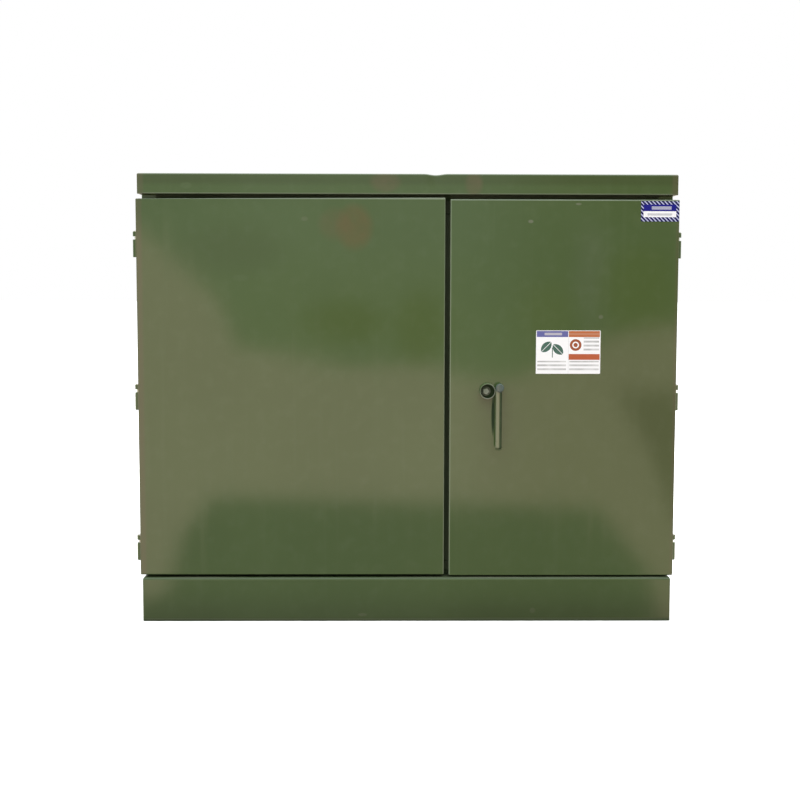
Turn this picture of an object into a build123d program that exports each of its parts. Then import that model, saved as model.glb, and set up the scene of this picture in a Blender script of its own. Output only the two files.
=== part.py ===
"""Three-phase pad-mounted distribution transformer.

A sealed, oil-filled tank stands behind a full-width terminal cabinet with two doors.
Millimetres, +Z up, the doors face -Y. The origin is on the ground, below the middle of the whole.
"""

import os

from build123d import *

os.makedirs("parts", exist_ok=True)

# Sheet steel and general clearances
sheet = 3.0
thin_sheet = 2.0
bend_radius = 4.5
hinge_fit = 0.1
seat_gap = 0.3

# Cabinet
cabinet_width = 1504.0
cabinet_depth = 450.0
jamb_width = 40.0
rear_flange = 30.0

# Hood over the cabinet
fascia_bottom = 1213.0
fascia_top = 1270.0
roof_rise = 5.0
hood_side_gap = 1.2
hood_proud = 4.0
fascia_return = 14.0
hood_lap = 25.0

# Doors
door_span = 1524.0
door_depth = 40.0
door_gap_behind = 6.0
door_top = 1203.0
door_bottom = 133.5
door_lip = 18.0
door_edge_radius = 2.5
door_corner_radius = 3.0
left_door_width = 866.5
door_gap_between = 14.0
right_door_drop = 2.5
stiffener_inset = 240.0
hat_width = 46.0
hat_depth = 24.0
hat_foot = 16.0

# Sill below the doors
sill_height = 126.0
sill_proud = 6.0
sill_side_gap = 0.7
sill_side_depth = 95.0
sill_bend = 7.0
sill_return = 30.0

# Door frame behind the doors
frame_channel_depth = 40.0
header_bottom = 1160.0
rail_bottom = 90.0
rail_height = 75.0
post_width = 70.0
barrier_thickness = 5.0
barrier_bottom = 20.0

# Lift-off hinges, three to a door
knuckle_tops = (1109.0, 674.0, 238.0)
pin_radius = 5.0
barrel_radius = 12.0
knuckle_height = 13.0
hinge_gap = 9.0
barrel_height = 50.0
barrel_edge = 1.0
pin_head_radius = 10.5
pin_head_height = 3.0
pin_collar_radius = 7.0
hinge_swing_gap = 5.5
hinge_pad_thickness = 4.0
hinge_pad_width = 14.0
hinge_arm_thickness = 4.0
hinge_arm_inset = 1.0

# Handle and lock on the right-hand door
handle_inset = 140.0
handle_z = 673.0
hub_radius = 11.5
hub_cap_height = 3.0
hub_cap_taper = 25.0
bar_offset = -2.5
bar_width = 18.0
bar_thickness = 13.0
bar_corner = 5.5
bar_drop = 164.0
handle_stand_off = 22.0
shaft_radius = 7.0
bearing_radius = 9.5
bearing_height = 8.0
lock_offset_x = -33.0
lock_offset_z = -11.0
cup_radius = 22.5
cup_wall = 3.0
cup_height = 16.0
cup_edge = 1.2
bolt_offset = -4.5
bolt_head_radius = 10.0
bolt_head_height = 8.0
bolt_head_taper = 4.0
bolt_washer_radius = 13.5
bolt_washer_height = 2.5
bolt_shank_radius = 6.3
bolt_shank_length = 30.0
cam_thickness = 5.0
cam_width = 32.0
cam_tip_width = 16.0
cam_reach = 100.0
cam_clearance = 8.0

# Tank
tank_width = 1300.0
tank_depth = 460.0
tank_top = 1238.0
tank_corner = 22.0
front_plate = 6.0
skid_height = 50.0
skid_width = 110.0
skid_spacing = 900.0
skid_bevel = 22.0
cover_lap = 14.0
cover_lip = 36.0
cover_top = 1262.0
cover_bend = 6.0
handhole_length = 420.0
handhole_width = 200.0
handhole_corner = 30.0
handhole_thickness = 8.0
handhole_bolt_inset = 18.0
handhole_bolt_radius = 7.0
handhole_bolt_height = 6.0

# Lifting lugs
lug_thickness = 14.0
lug_reach = 78.0
lug_height = 110.0
lug_corner = 20.0
lug_hole_radius = 18.0
lug_hole_drop = 40.0
lug_top = 1190.0
lug_inset = 62.0

# Jacking pads
jack_inset = 124.0
jack_width = 70.0
jack_reach = 60.0
jack_height = 120.0
jack_gusset = 70.0
jack_plate = 12.0

# Cooling radiator on the back of the tank
panel_count = 14
panel_pitch = 62.0
panel_depth = 190.0
panel_height = 880.0
panel_thickness = 11.0
panel_corner = 26.0
panel_bottom = 205.0
panel_bevel = 3.0
flute_count = 3
flute_pitch = 48.0
flute_length = 690.0
flute_width = 16.0
flute_depth = 2.0
pipe_radius = 24.0
pipe_inset_z = 46.0
pipe_inset_y = 44.0
pipe_overhang = 15.0
neck_radius = 19.0
neck_length = 30.0
neck_spacing = 496.0
neck_flange_radius = 44.0
neck_flange_thickness = 10.0

# High-voltage terminals, on the left of the cabinet
hv_heights = (690.0, 760.0, 690.0)
hv_from_wall = 162.0
hv_from_post = 343.0
hv_flange_radius = 52.0
hv_flange_thickness = 9.0
hv_root_radius = 40.0
hv_collar_radius = 38.0
hv_collar_start = 44.0
hv_collar_width = 8.0
hv_nose_radius = 29.0
hv_tip_radius = 22.0
hv_length = 118.0
hv_bore_radius = 11.0
hv_bore_depth = 30.0
stand_drop = 92.0
stand_width = 46.0
stand_height = 40.0
stand_reach = 46.0
stand_slot_width = 16.0
stand_slot_depth = 30.0
fuse_count = 3
fuse_from_wall = 142.0
fuse_from_post = 363.0
fuse_z = 985.0
fuse_tilt = 35.0
fuse_length = 150.0
fuse_radius = 21.0
fuse_cap_rim = 6.0
fuse_cap_height = 16.0
fuse_flange_rim = 22.0
fuse_flange_thickness = 8.0
control_from_post = 223.0
switch_z = 930.0
switch_grip = 120.0
tap_z = 560.0
tap_grip = 64.0
control_flange_radius = 38.0
control_flange_thickness = 8.0
control_body_radius = 22.0
control_body_length = 30.0
control_stem_radius = 12.0
control_length = 58.0
grip_width = 22.0
grip_thickness = 14.0

# Low-voltage terminals, on the right of the cabinet
lv_heights = (720.0, 820.0, 720.0, 820.0)
lv_from_post = 97.0
lv_from_wall = 137.0
lv_flange_radius = 44.0
lv_flange_thickness = 12.0
lv_body_radius = 34.0
lv_shed_radius = 40.0
lv_shed_half = 5.0
lv_first_shed = 33.0
lv_shed_pitch = 20.0
lv_tip_radius = 28.0
lv_length = 72.0
spade_collar_radius = 24.0
spade_collar_length = 16.0
spade_length = 92.0
spade_height = 78.0
spade_thickness = 10.0
spade_hole_radius = 7.1
nema_pitch = 44.45
gauge_heights = (1060.0, 960.0)
gauge_from_post = 117.0
gauge_radius = 40.0
gauge_neck_radius = 26.0
gauge_neck_length = 8.0
gauge_depth = 34.0
gauge_bezel = 5.0
gauge_recess = 4.0
relief_from_wall = 232.0
relief_z = 1060.0
relief_flange_radius = 20.0
relief_flange_thickness = 10.0
relief_body_radius = 13.0
relief_body_length = 34.0
relief_cap_radius = 17.0
relief_cap_length = 12.0
relief_tip_radius = 6.0
relief_length = 58.0
drain_from_wall = 112.0
drain_z = 205.0
drain_pipe_radius = 15.0
drain_flange_radius = 24.0
drain_flange_thickness = 8.0
drain_body_start = 38.0
drain_body_length = 48.0
drain_length = 100.0
drain_plug_radius = 18.0
drain_bonnet_radius = 20.0
drain_bonnet_top = 40.0
drain_stem_radius = 5.0
drain_wheel_height = 66.0
drain_wheel_radius = 32.0
drain_wheel_thickness = 8.0
drain_wheel_hole = 6.0
pad_from_wall = 112.0
pad_from_post = 137.0
pad_z = 150.0
pad_width = 44.0
pad_height = 86.0
pad_thickness = 14.0
pad_hole_radius = 5.35
pad_hole_depth = 12.0

# Places worked out from the sizes above
handle_projection = handle_stand_off + bar_thickness + hub_cap_height
overall_depth = (
    handle_projection + door_depth + door_gap_behind + cabinet_depth + tank_depth
    + neck_length + panel_depth
)
door_face_y = -overall_depth / 2 + handle_projection
door_back_y = door_face_y + door_depth
jamb_y = door_back_y + door_gap_behind
tank_front_y = jamb_y + cabinet_depth
plate_face_y = tank_front_y - front_plate
tank_back_y = tank_front_y + tank_depth
half_cabinet = cabinet_width / 2
half_doors = door_span / 2
half_tank = tank_width / 2
left_door_edge = -half_doors + left_door_width
right_door_edge = left_door_edge + door_gap_between
post_x = (left_door_edge + right_door_edge) / 2
handle_x = right_door_edge + handle_inset
inner_jamb_x = half_cabinet - jamb_width
pin_x = half_cabinet + hinge_pad_thickness + barrel_radius
pin_y = door_back_y + hinge_swing_gap + barrel_radius
bar_x = handle_x + bar_offset
lock_x = handle_x + lock_offset_x
lock_z = handle_z + lock_offset_z
rail_top = rail_bottom + rail_height
cup_seat_y = door_face_y - sheet
cam_y = jamb_y + cam_clearance
control_x = post_x - control_from_post
gauge_x = post_x + gauge_from_post
relief_x = half_cabinet - relief_from_wall
drain_x = half_cabinet - drain_from_wall
ground_pad_xs = (pad_from_wall - half_cabinet, post_x + pad_from_post)
hood_front = door_face_y - hood_proud
hood_back = tank_front_y + hood_lap
roof_slope = roof_rise / (hood_back - hood_front)


def roof_under(y):
    """Height of what seats under the roof sheet at depth y."""
    return fascia_top - sheet - seat_gap + roof_slope * (y - hood_front - sheet)


header_top = roof_under(jamb_y)
above_roof = (
    (jamb_y - sheet, roof_under(jamb_y - sheet)),
    (hood_back, roof_under(hood_back)),
    (hood_back, roof_under(hood_back) + sheet + roof_rise),
    (jamb_y - sheet, roof_under(hood_back) + sheet + roof_rise),
)


def spread(low, high, count):
    """Evenly spaced places from low to high."""
    return [low + (high - low) * i / (count - 1) for i in range(count)]


hv_xs = spread(hv_from_wall - half_cabinet, post_x - hv_from_post, len(hv_heights))
fuse_xs = spread(fuse_from_wall - half_cabinet, post_x - fuse_from_post, fuse_count)
lv_xs = spread(post_x + lv_from_post, half_cabinet - lv_from_wall, len(lv_heights))
hv_places = list(zip(hv_xs, hv_heights))
lv_places = list(zip(lv_xs, lv_heights))


def write(piece, name):
    """Labels one finished piece and writes it as its own file."""
    piece.part.label = name
    export_step(piece.part, f"parts/{name}.step")


def front_plane(y):
    """A sketch plane facing the viewer at depth y: its x is +X and its y is +Z."""
    return Plane.XZ.offset(-y)


def turning_plane(x, y, z):
    """A plane through an axis that points forward: its x runs forward, its y is the radius."""
    return Plane(origin=(x, y, z), x_dir=(0, -1, 0), z_dir=(1, 0, 0))


def forward_axis(x, y, z):
    return Axis((x, y, z), (0, -1, 0))


# Terminal cabinet

def make_side_wall(side):
    """One folded side sheet: web, inward door jamb and inward flange on the tank."""
    centre_x = side * (half_cabinet - jamb_width / 2)
    centre_y = (jamb_y + plate_face_y) / 2
    depth = plate_face_y - jamb_y
    with BuildPart() as wall:
        with BuildSketch() as profile:
            with Locations((centre_x, centre_y)):
                Rectangle(jamb_width, depth)
            outer = profile.vertices().group_by(Axis.X)[-1 if side > 0 else 0]
            fillet(outer, bend_radius)
            with Locations((centre_x - side * sheet, centre_y)):
                Rectangle(jamb_width, depth - 2 * sheet, mode=Mode.SUBTRACT)
            trimmed = jamb_width - rear_flange
            with Locations((side * (inner_jamb_x + trimmed / 2), plate_face_y)):
                Rectangle(trimmed, 2 * sheet, mode=Mode.SUBTRACT)
        extrude(amount=roof_under(hood_back))
        with BuildSketch(Plane.YZ.offset(centre_x - jamb_width / 2)):
            with BuildLine():
                Polyline(*above_roof, close=True)
            make_face()
        extrude(amount=jamb_width, mode=Mode.SUBTRACT)
    return wall


def make_channel(x_low, x_high, z_low, z_high):
    """A folded channel lying along X in the door frame, open to the back."""
    with BuildPart() as channel:
        with BuildSketch(front_plane(jamb_y)):
            with Locations(((x_low + x_high) / 2, (z_low + z_high) / 2)):
                Rectangle(x_high - x_low, z_high - z_low)
        extrude(amount=-frame_channel_depth)
        fillet(channel.faces().sort_by(Axis.Y)[0].edges().filter_by(Axis.X), sheet)
        with BuildSketch(front_plane(jamb_y + sheet)):
            with Locations(((x_low + x_high) / 2, (z_low + z_high) / 2)):
                Rectangle(x_high - x_low, z_high - z_low - 2 * sheet)
        extrude(amount=-frame_channel_depth, mode=Mode.SUBTRACT)
    return channel


def make_centre_post():
    """The upright that both doors close against, a channel open to the back."""
    z_mid = (rail_top + header_bottom) / 2
    height = header_bottom - rail_top
    with BuildPart() as post:
        with BuildSketch(front_plane(jamb_y)):
            with Locations((post_x, z_mid)):
                Rectangle(post_width, height)
        extrude(amount=-frame_channel_depth)
        fillet(post.faces().sort_by(Axis.Y)[0].edges().filter_by(Axis.Z), sheet)
        with BuildSketch(front_plane(jamb_y + sheet)):
            with Locations((post_x, z_mid)):
                Rectangle(post_width - 2 * sheet, height)
        extrude(amount=-frame_channel_depth, mode=Mode.SUBTRACT)
    return post


def make_barrier():
    """The sheet that parts the high-voltage side from the low-voltage side."""
    y_low = jamb_y + sheet
    with BuildPart() as barrier:
        with BuildSketch(Plane.XY.offset(barrier_bottom)):
            with Locations((post_x, (y_low + plate_face_y) / 2)):
                Rectangle(barrier_thickness, plate_face_y - y_low)
        extrude(amount=roof_under(hood_back) - barrier_bottom)
        with BuildSketch(Plane.YZ.offset(post_x - barrier_thickness / 2)):
            with BuildLine():
                Polyline(*above_roof, close=True)
            make_face()
        extrude(amount=barrier_thickness, mode=Mode.SUBTRACT)
        with BuildSketch(front_plane(jamb_y)):
            with Locations((post_x, (rail_bottom + rail_top) / 2)):
                Rectangle(post_width, rail_height)
            with Locations((post_x, (header_bottom + header_top) / 2)):
                Rectangle(post_width, header_top - header_bottom)
        extrude(amount=-frame_channel_depth, mode=Mode.SUBTRACT)
    return barrier


def make_hood():
    """The roof sheet with its fascia, side lips and the fascia's return."""
    front = hood_front
    back = hood_back
    half_width = half_cabinet + hood_side_gap + sheet
    with BuildPart() as hood:
        with BuildSketch(Plane.YZ.offset(-half_width)):
            with BuildLine():
                Polyline(
                    (front, fascia_bottom), (front, fascia_top),
                    (back, fascia_top + roof_rise), (back, fascia_bottom), close=True,
                )
            make_face()
        extrude(amount=2 * half_width)
        top = hood.faces().sort_by(Axis.Z)[-1]
        fillet(top.edges().sort_by(Axis.Y)[:3], bend_radius)
        fillet(hood.edges().filter_by(Axis.X).sort_by(Axis.Y)[0], sheet)
        with BuildSketch(Plane.YZ.offset(-half_width + sheet)):
            with BuildLine():
                Polyline(
                    (front + sheet, fascia_bottom + sheet),
                    (front + sheet, fascia_top - sheet),
                    (back + sheet, fascia_top + roof_rise - sheet),
                    (back + sheet, fascia_bottom + sheet), close=True,
                )
            make_face()
        extrude(amount=2 * (half_width - sheet), mode=Mode.SUBTRACT)
        with BuildSketch(Plane.XY.offset(fascia_bottom)):
            with Locations((0, (front + fascia_return + back + sheet) / 2)):
                Rectangle(2 * (half_width - sheet), back + sheet - front - fascia_return)
        extrude(amount=sheet, mode=Mode.SUBTRACT)
    return hood


def make_sill():
    """The removable front sill, folded round the cabinet's bottom corners."""
    front = door_face_y - sill_proud
    half_width = half_cabinet + sill_side_gap + sheet
    flange_depth = jamb_y - front
    with BuildPart() as sill:
        with BuildSketch():
            with Locations((0, front + sill_side_depth / 2)):
                Rectangle(2 * half_width, sill_side_depth)
        extrude(amount=sill_height)
        fillet(sill.faces().sort_by(Axis.Y)[0].edges().filter_by(Axis.Z), bend_radius)
        fillet(sill.edges().filter_by(Axis.X).group_by(Axis.Y)[0].sort_by(Axis.Z)[-1], sill_bend)
        with BuildSketch(Plane.XY.offset(sheet)):
            with Locations((0, front + sheet + sill_side_depth / 2)):
                Rectangle(2 * (half_width - sheet), sill_side_depth)
        extrude(amount=sill_height - 2 * sheet, mode=Mode.SUBTRACT)
        with BuildSketch():
            with Locations((0, front + sill_return + sill_side_depth / 2)):
                Rectangle(2 * (half_width - sheet), sill_side_depth)
        extrude(amount=sheet, mode=Mode.SUBTRACT)
        with BuildSketch(Plane.XY.offset(sill_height - sheet)):
            with Locations((0, front + flange_depth + sill_side_depth / 2)):
                Rectangle(2 * half_width, sill_side_depth)
        extrude(amount=sheet, mode=Mode.SUBTRACT)
    return sill


# Doors

def make_door(x_low, x_high, drop):
    """A folded door pan: face, four flanges and a return lip all round the back."""
    width = x_high - x_low
    height = door_top - door_bottom
    centre = ((x_low + x_high) / 2, (door_top + door_bottom) / 2 - drop)
    with BuildPart() as door:
        with BuildSketch(front_plane(door_face_y)):
            with Locations(centre):
                Rectangle(width, height)
        extrude(amount=-door_depth)
        fillet(door.edges().filter_by(Axis.Y), door_corner_radius)
        fillet(door.faces().sort_by(Axis.Y)[0].edges(), door_edge_radius)
        with BuildSketch(front_plane(door_face_y + sheet)):
            with Locations(centre):
                Rectangle(width - 2 * sheet, height - 2 * sheet)
        extrude(amount=-(door_depth - 2 * sheet), mode=Mode.SUBTRACT)
        with BuildSketch(front_plane(door_back_y - sheet)):
            with Locations(centre):
                Rectangle(width - 2 * door_lip, height - 2 * door_lip)
        extrude(amount=-sheet, mode=Mode.SUBTRACT)
    return door


def make_left_door():
    return make_door(-half_doors, left_door_edge, 0)


def make_right_door():
    """The handle door, with a hole for the handle's shaft and one for the lock bolt."""
    pan = make_door(right_door_edge, half_doors, right_door_drop)
    with BuildPart() as door:
        add(pan.part)
        with BuildSketch(front_plane(door_face_y)):
            with Locations((handle_x, handle_z)):
                Circle(shaft_radius + hinge_fit)
            with Locations((lock_x + bolt_offset, lock_z)):
                Circle(bolt_shank_radius + seat_gap)
        extrude(amount=-sheet, mode=Mode.SUBTRACT)
    return door


def make_stiffeners(xs, drop):
    """Upright hat channels spot-welded to the inside of a door's face."""
    back = door_face_y + sheet
    height = door_top - door_bottom - 2 * sheet - 2 * seat_gap
    with BuildPart() as hats:
        for x in xs:
            with BuildSketch(Plane.XY.offset(door_bottom - drop + sheet + seat_gap)):
                with Locations((x, back + hat_depth / 2)):
                    Rectangle(hat_width, hat_depth)
                with Locations((x, back + thin_sheet / 2)):
                    Rectangle(hat_width + 2 * hat_foot, thin_sheet)
                with Locations((x, back + (hat_depth - thin_sheet) / 2)):
                    inner = hat_width - 2 * thin_sheet
                    Rectangle(inner, hat_depth - thin_sheet, mode=Mode.SUBTRACT)
            extrude(amount=height)
    return hats


# Hinges

def make_frame_barrels(side):
    """The long lower barrels, each on the pad that is welded to the side wall."""
    with BuildPart() as barrels:
        for top in knuckle_tops:
            low = top - knuckle_height - hinge_gap - barrel_height
            with BuildSketch(Plane.XY.offset(low)):
                with Locations((side * pin_x, pin_y)):
                    Circle(barrel_radius)
            extrude(amount=barrel_height)
            with BuildSketch(Plane.XY.offset(low)):
                with Locations((side * (half_cabinet + pin_x) / 2, pin_y)):
                    Rectangle(pin_x - half_cabinet, hinge_pad_width)
            extrude(amount=barrel_height)
        fillet(barrels.edges().filter_by(GeomType.CIRCLE), barrel_edge)
        for top in knuckle_tops:
            with BuildSketch(Plane.XY.offset(top - knuckle_height - hinge_gap)):
                with Locations((side * pin_x, pin_y)):
                    Circle(pin_radius + hinge_fit)
            extrude(amount=-barrel_height, mode=Mode.SUBTRACT)
    return barrels


def make_door_knuckles(side):
    """The short upper knuckles, each on an arm welded to the back of the door's flange."""
    arm_x = half_doors - hinge_arm_inset - hinge_arm_thickness / 2
    with BuildPart() as knuckles:
        for top in knuckle_tops:
            with BuildSketch(Plane.XY.offset(top - knuckle_height)):
                with Locations((side * pin_x, pin_y)):
                    Circle(barrel_radius)
                with Locations((side * arm_x, (door_back_y + pin_y) / 2)):
                    Rectangle(hinge_arm_thickness, pin_y - door_back_y)
                with Locations((side * pin_x, pin_y)):
                    Circle(pin_radius + hinge_fit, mode=Mode.SUBTRACT)
            extrude(amount=knuckle_height)
    return knuckles


def make_pins(side):
    """Stainless pins: shank, the collar that carries the door's knuckle, and a head."""
    knuckle_low = -knuckle_height - seat_gap
    barrel_high = -knuckle_height - hinge_gap
    shank_low = barrel_high - barrel_height
    head_top = seat_gap + pin_head_height
    with BuildPart() as pins:
        for top in knuckle_tops:
            base = Plane(origin=(side * pin_x, pin_y, top), x_dir=(1, 0, 0), z_dir=(0, -1, 0))
            with BuildSketch(base):
                with BuildLine():
                    Polyline(
                        (0, shank_low), (pin_radius, shank_low),
                        (pin_radius, barrel_high + seat_gap),
                        (pin_collar_radius, barrel_high + seat_gap),
                        (pin_collar_radius, knuckle_low), (pin_radius, knuckle_low),
                        (pin_radius, seat_gap), (pin_head_radius, seat_gap),
                        (pin_head_radius, head_top - pin_head_height / 2),
                        (pin_radius, head_top), (0, head_top), close=True,
                    )
                make_face()
            revolve(axis=Axis((side * pin_x, pin_y, top), (0, 0, 1)))
    return pins


# Handle and lock

def make_handle_bearing():
    """The boss on the door that the handle's shaft turns in."""
    with BuildPart() as bearing:
        with BuildSketch(front_plane(door_face_y)):
            with Locations((handle_x, handle_z)):
                Circle(bearing_radius)
                Circle(shaft_radius + hinge_fit, mode=Mode.SUBTRACT)
        extrude(amount=bearing_height)
        fillet(bearing.faces().sort_by(Axis.Y)[0].outer_wire().edges(), cup_edge)
    return bearing


def make_handle():
    """A round-edged bar that hangs from its hub, with the shaft that carries the cam."""
    bar_middle = door_face_y - handle_stand_off - bar_thickness / 2
    hub_front = door_face_y - handle_stand_off - bar_thickness
    end_round = bar_thickness * 0.38
    with BuildPart() as handle:
        with BuildSketch(Plane.XY.offset(handle_z - bar_drop - bar_width / 2)):
            with Locations((bar_x, bar_middle)):
                RectangleRounded(bar_width, bar_thickness, bar_corner)
        extrude(amount=bar_drop + bar_width / 2)
        fillet(handle.faces().sort_by(Axis.Z)[0].edges(), end_round)
        with BuildSketch(front_plane(door_face_y - handle_stand_off)):
            with Locations((handle_x, handle_z)):
                Circle(hub_radius)
        extrude(amount=bar_thickness)
        with BuildSketch(front_plane(hub_front)):
            with Locations((handle_x, handle_z)):
                Circle(hub_radius)
        extrude(amount=hub_cap_height, taper=hub_cap_taper)
        with BuildSketch(front_plane(door_face_y - handle_stand_off)):
            with Locations((handle_x, handle_z)):
                Circle(shaft_radius)
        extrude(amount=-(cam_y + cam_thickness - door_face_y + handle_stand_off))
    return handle


def make_latch_cam():
    """The pawl on the shaft's inner end, pointing at the centre post."""
    tip_x = handle_x - cam_reach + cam_tip_width / 2
    with BuildPart() as cam:
        with BuildSketch(front_plane(cam_y)) as outline:
            with Locations((handle_x, handle_z)):
                Circle(cam_width / 2)
            with Locations((tip_x, handle_z)):
                Circle(cam_tip_width / 2)
            make_hull()
            with Locations((handle_x, handle_z)):
                Circle(shaft_radius + hinge_fit, mode=Mode.SUBTRACT)
        extrude(amount=-cam_thickness)
    return cam


def make_lock_cup():
    """The round shroud that guards the security bolt's head."""
    with BuildPart() as cup:
        with BuildSketch(front_plane(door_face_y)):
            with Locations((lock_x, lock_z)):
                Circle(cup_radius)
        extrude(amount=cup_height)
        fillet(cup.faces().sort_by(Axis.Y)[0].edges(), cup_edge)
        with BuildSketch(front_plane(cup_seat_y)):
            with Locations((lock_x, lock_z)):
                Circle(cup_radius - cup_wall)
        extrude(amount=cup_height, mode=Mode.SUBTRACT)
        with BuildSketch(front_plane(door_face_y)):
            with Locations((lock_x + bolt_offset, lock_z)):
                Circle(bolt_shank_radius + seat_gap)
        extrude(amount=sheet, mode=Mode.SUBTRACT)
    return cup


def make_lock_bolt():
    """The captive five-sided security bolt, which sits off centre in its cup."""
    centre = (lock_x + bolt_offset, lock_z)
    with BuildPart() as bolt:
        with BuildSketch(front_plane(cup_seat_y)):
            with Locations(centre):
                Circle(bolt_washer_radius)
        extrude(amount=bolt_washer_height)
        with BuildSketch(front_plane(cup_seat_y - bolt_washer_height)):
            with Locations(centre):
                RegularPolygon(bolt_head_radius, 5)
        extrude(amount=bolt_head_height, taper=bolt_head_taper)
        with BuildSketch(front_plane(cup_seat_y)):
            with Locations(centre):
                Circle(bolt_shank_radius)
        extrude(amount=-bolt_shank_length)
    return bolt


# Tank

def make_front_plate():
    """The plate that closes the cabinet's back and carries the terminals."""
    with BuildPart() as plate:
        with BuildSketch(front_plane(plate_face_y)):
            with Locations((0, roof_under(plate_face_y) / 2)):
                Rectangle(cabinet_width, roof_under(plate_face_y))
        extrude(amount=-front_plate)
    return plate


def make_tank():
    """The sealed tank with the oil, core and coils in it, as one closed body."""
    with BuildPart() as tank:
        with BuildSketch(Plane.XY.offset(skid_height)):
            with Locations((0, (tank_front_y + tank_back_y) / 2)):
                Rectangle(tank_width, tank_depth)
        extrude(amount=tank_top - skid_height)
        fillet(tank.edges().filter_by(Axis.Z).group_by(Axis.Y)[-1], tank_corner)
    return tank


def make_tank_cover():
    """The welded lid, folded down over the tank's rim."""
    front = tank_front_y
    back = tank_back_y + cover_lap
    half_width = half_tank + cover_lap
    with BuildPart() as cover:
        with BuildSketch(Plane.XY.offset(cover_top - cover_lip)):
            with Locations((0, (front + back) / 2)):
                Rectangle(2 * half_width, back - front)
        extrude(amount=cover_lip)
        fillet(cover.edges().filter_by(Axis.Z).group_by(Axis.Y)[-1], tank_corner + cover_lap / 2)
        top = cover.faces().sort_by(Axis.Z)[-1]
        fillet(top.edges().sort_by(Axis.Y)[1:], cover_bend)
        with BuildSketch(Plane.XY.offset(cover_top - cover_lip)):
            with Locations((0, (tank_front_y + tank_back_y) / 2)):
                Rectangle(tank_width, tank_depth)
        extrude(amount=tank_top - cover_top + cover_lip, mode=Mode.SUBTRACT)
    return cover


def make_handhole_cover():
    """The bolted handhole plate on the lid."""
    centre_y = (tank_front_y + hood_lap + tank_back_y) / 2
    with BuildPart() as plate:
        with BuildSketch(Plane.XY.offset(cover_top)):
            with Locations((0, centre_y)):
                RectangleRounded(handhole_length, handhole_width, handhole_corner)
        extrude(amount=handhole_thickness)
        fillet(plate.faces().sort_by(Axis.Z)[-1].edges(), 1.5)
    return plate


def make_handhole_bolts():
    centre_y = (tank_front_y + hood_lap + tank_back_y) / 2
    pitch_x = (handhole_length - 2 * handhole_bolt_inset) / 3
    pitch_y = handhole_width - 2 * handhole_bolt_inset
    with BuildPart() as bolts:
        with BuildSketch(Plane.XY.offset(cover_top + handhole_thickness)):
            with Locations((0, centre_y)):
                with GridLocations(pitch_x, pitch_y, 4, 2):
                    RegularPolygon(handhole_bolt_radius, 6)
        extrude(amount=handhole_bolt_height)
    return bolts


def make_base_rails():
    """Two skid rails under the tank, bevelled at both ends for dragging."""
    with BuildPart() as rails:
        with BuildSketch():
            with Locations((0, (tank_front_y + tank_back_y) / 2)):
                with GridLocations(skid_spacing, 1, 2, 1):
                    Rectangle(skid_width, tank_depth)
        extrude(amount=skid_height)
        ends = rails.faces().sort_by(Axis.Z)[:2].edges().filter_by(Axis.X)
        chamfer(ends, skid_bevel)
    return rails


def make_lifting_lugs():
    """Four lugs on the tank's sides, each a round-cornered plate with a shackle hole."""
    hole_z = lug_top - lug_hole_drop
    with BuildPart() as lugs:
        for side in (-1, 1):
            tip = side * (half_tank + lug_reach)
            for y in (tank_front_y + lug_inset, tank_back_y - lug_inset):
                with BuildSketch(front_plane(y - lug_thickness / 2)) as outline:
                    with BuildLine():
                        Polyline(
                            (side * half_tank, lug_top), (tip, lug_top),
                            (tip, lug_top - lug_height / 2),
                            (side * half_tank, lug_top - lug_height), close=True,
                        )
                    make_face()
                    fillet(outline.vertices().group_by(Axis.X)[-1 if side > 0 else 0], lug_corner)
                    with Locations((side * (half_tank + lug_reach / 2), hole_z)):
                        Circle(lug_hole_radius, mode=Mode.SUBTRACT)
                extrude(amount=-lug_thickness)
    return lugs


def make_jacking_pads():
    """Four gusseted steps low on the tank's sides for a jack's head."""
    top = jack_height + jack_plate
    with BuildPart() as pads:
        for side in (-1, 1):
            tip = side * (half_tank + jack_reach)
            for y in (tank_front_y + jack_inset, tank_back_y - jack_inset):
                with BuildSketch(Plane.XY.offset(jack_height)):
                    with Locations((side * (half_tank + jack_reach / 2), y)):
                        Rectangle(jack_reach, jack_width)
                extrude(amount=jack_plate)
                with BuildSketch(front_plane(y - jack_plate / 2)):
                    with BuildLine():
                        Polyline(
                            (side * half_tank, top), (tip, top),
                            (side * half_tank, top + jack_gusset), close=True,
                        )
                    make_face()
                extrude(amount=-jack_plate)
    return pads


# Cooling radiator

pipe_y = tank_back_y + neck_length + pipe_inset_y
pipe_low_z = panel_bottom + pipe_inset_z
pipe_high_z = panel_bottom + panel_height - pipe_inset_z
bank_width = (panel_count - 1) * panel_pitch + panel_thickness


def make_radiator_panels():
    """Upright pressed-steel panels with flutes, threaded on the two header pipes."""
    centre_y = tank_back_y + neck_length + panel_depth / 2
    centre_z = panel_bottom + panel_height / 2
    with BuildPart() as panel:
        with BuildSketch(Plane.YZ.offset(-panel_thickness / 2)):
            with Locations((centre_y, centre_z)):
                RectangleRounded(panel_depth, panel_height, panel_corner)
            for z in (pipe_low_z, pipe_high_z):
                with Locations((pipe_y, z)):
                    Circle(pipe_radius + seat_gap, mode=Mode.SUBTRACT)
        extrude(amount=panel_thickness)
        for face in (panel.faces().sort_by(Axis.X)[0], panel.faces().sort_by(Axis.X)[-1]):
            chamfer(face.outer_wire().edges(), panel_bevel)
        for x in (-panel_thickness / 2, panel_thickness / 2 - flute_depth):
            with BuildSketch(Plane.YZ.offset(x)):
                with Locations((centre_y, centre_z)):
                    with GridLocations(flute_pitch, 1, flute_count, 1):
                        SlotOverall(flute_length, flute_width, rotation=90)
            extrude(amount=flute_depth, mode=Mode.SUBTRACT)
    with BuildPart() as panels:
        with GridLocations(panel_pitch, 1, panel_count, 1):
            add(panel.part)
    return panels


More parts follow.
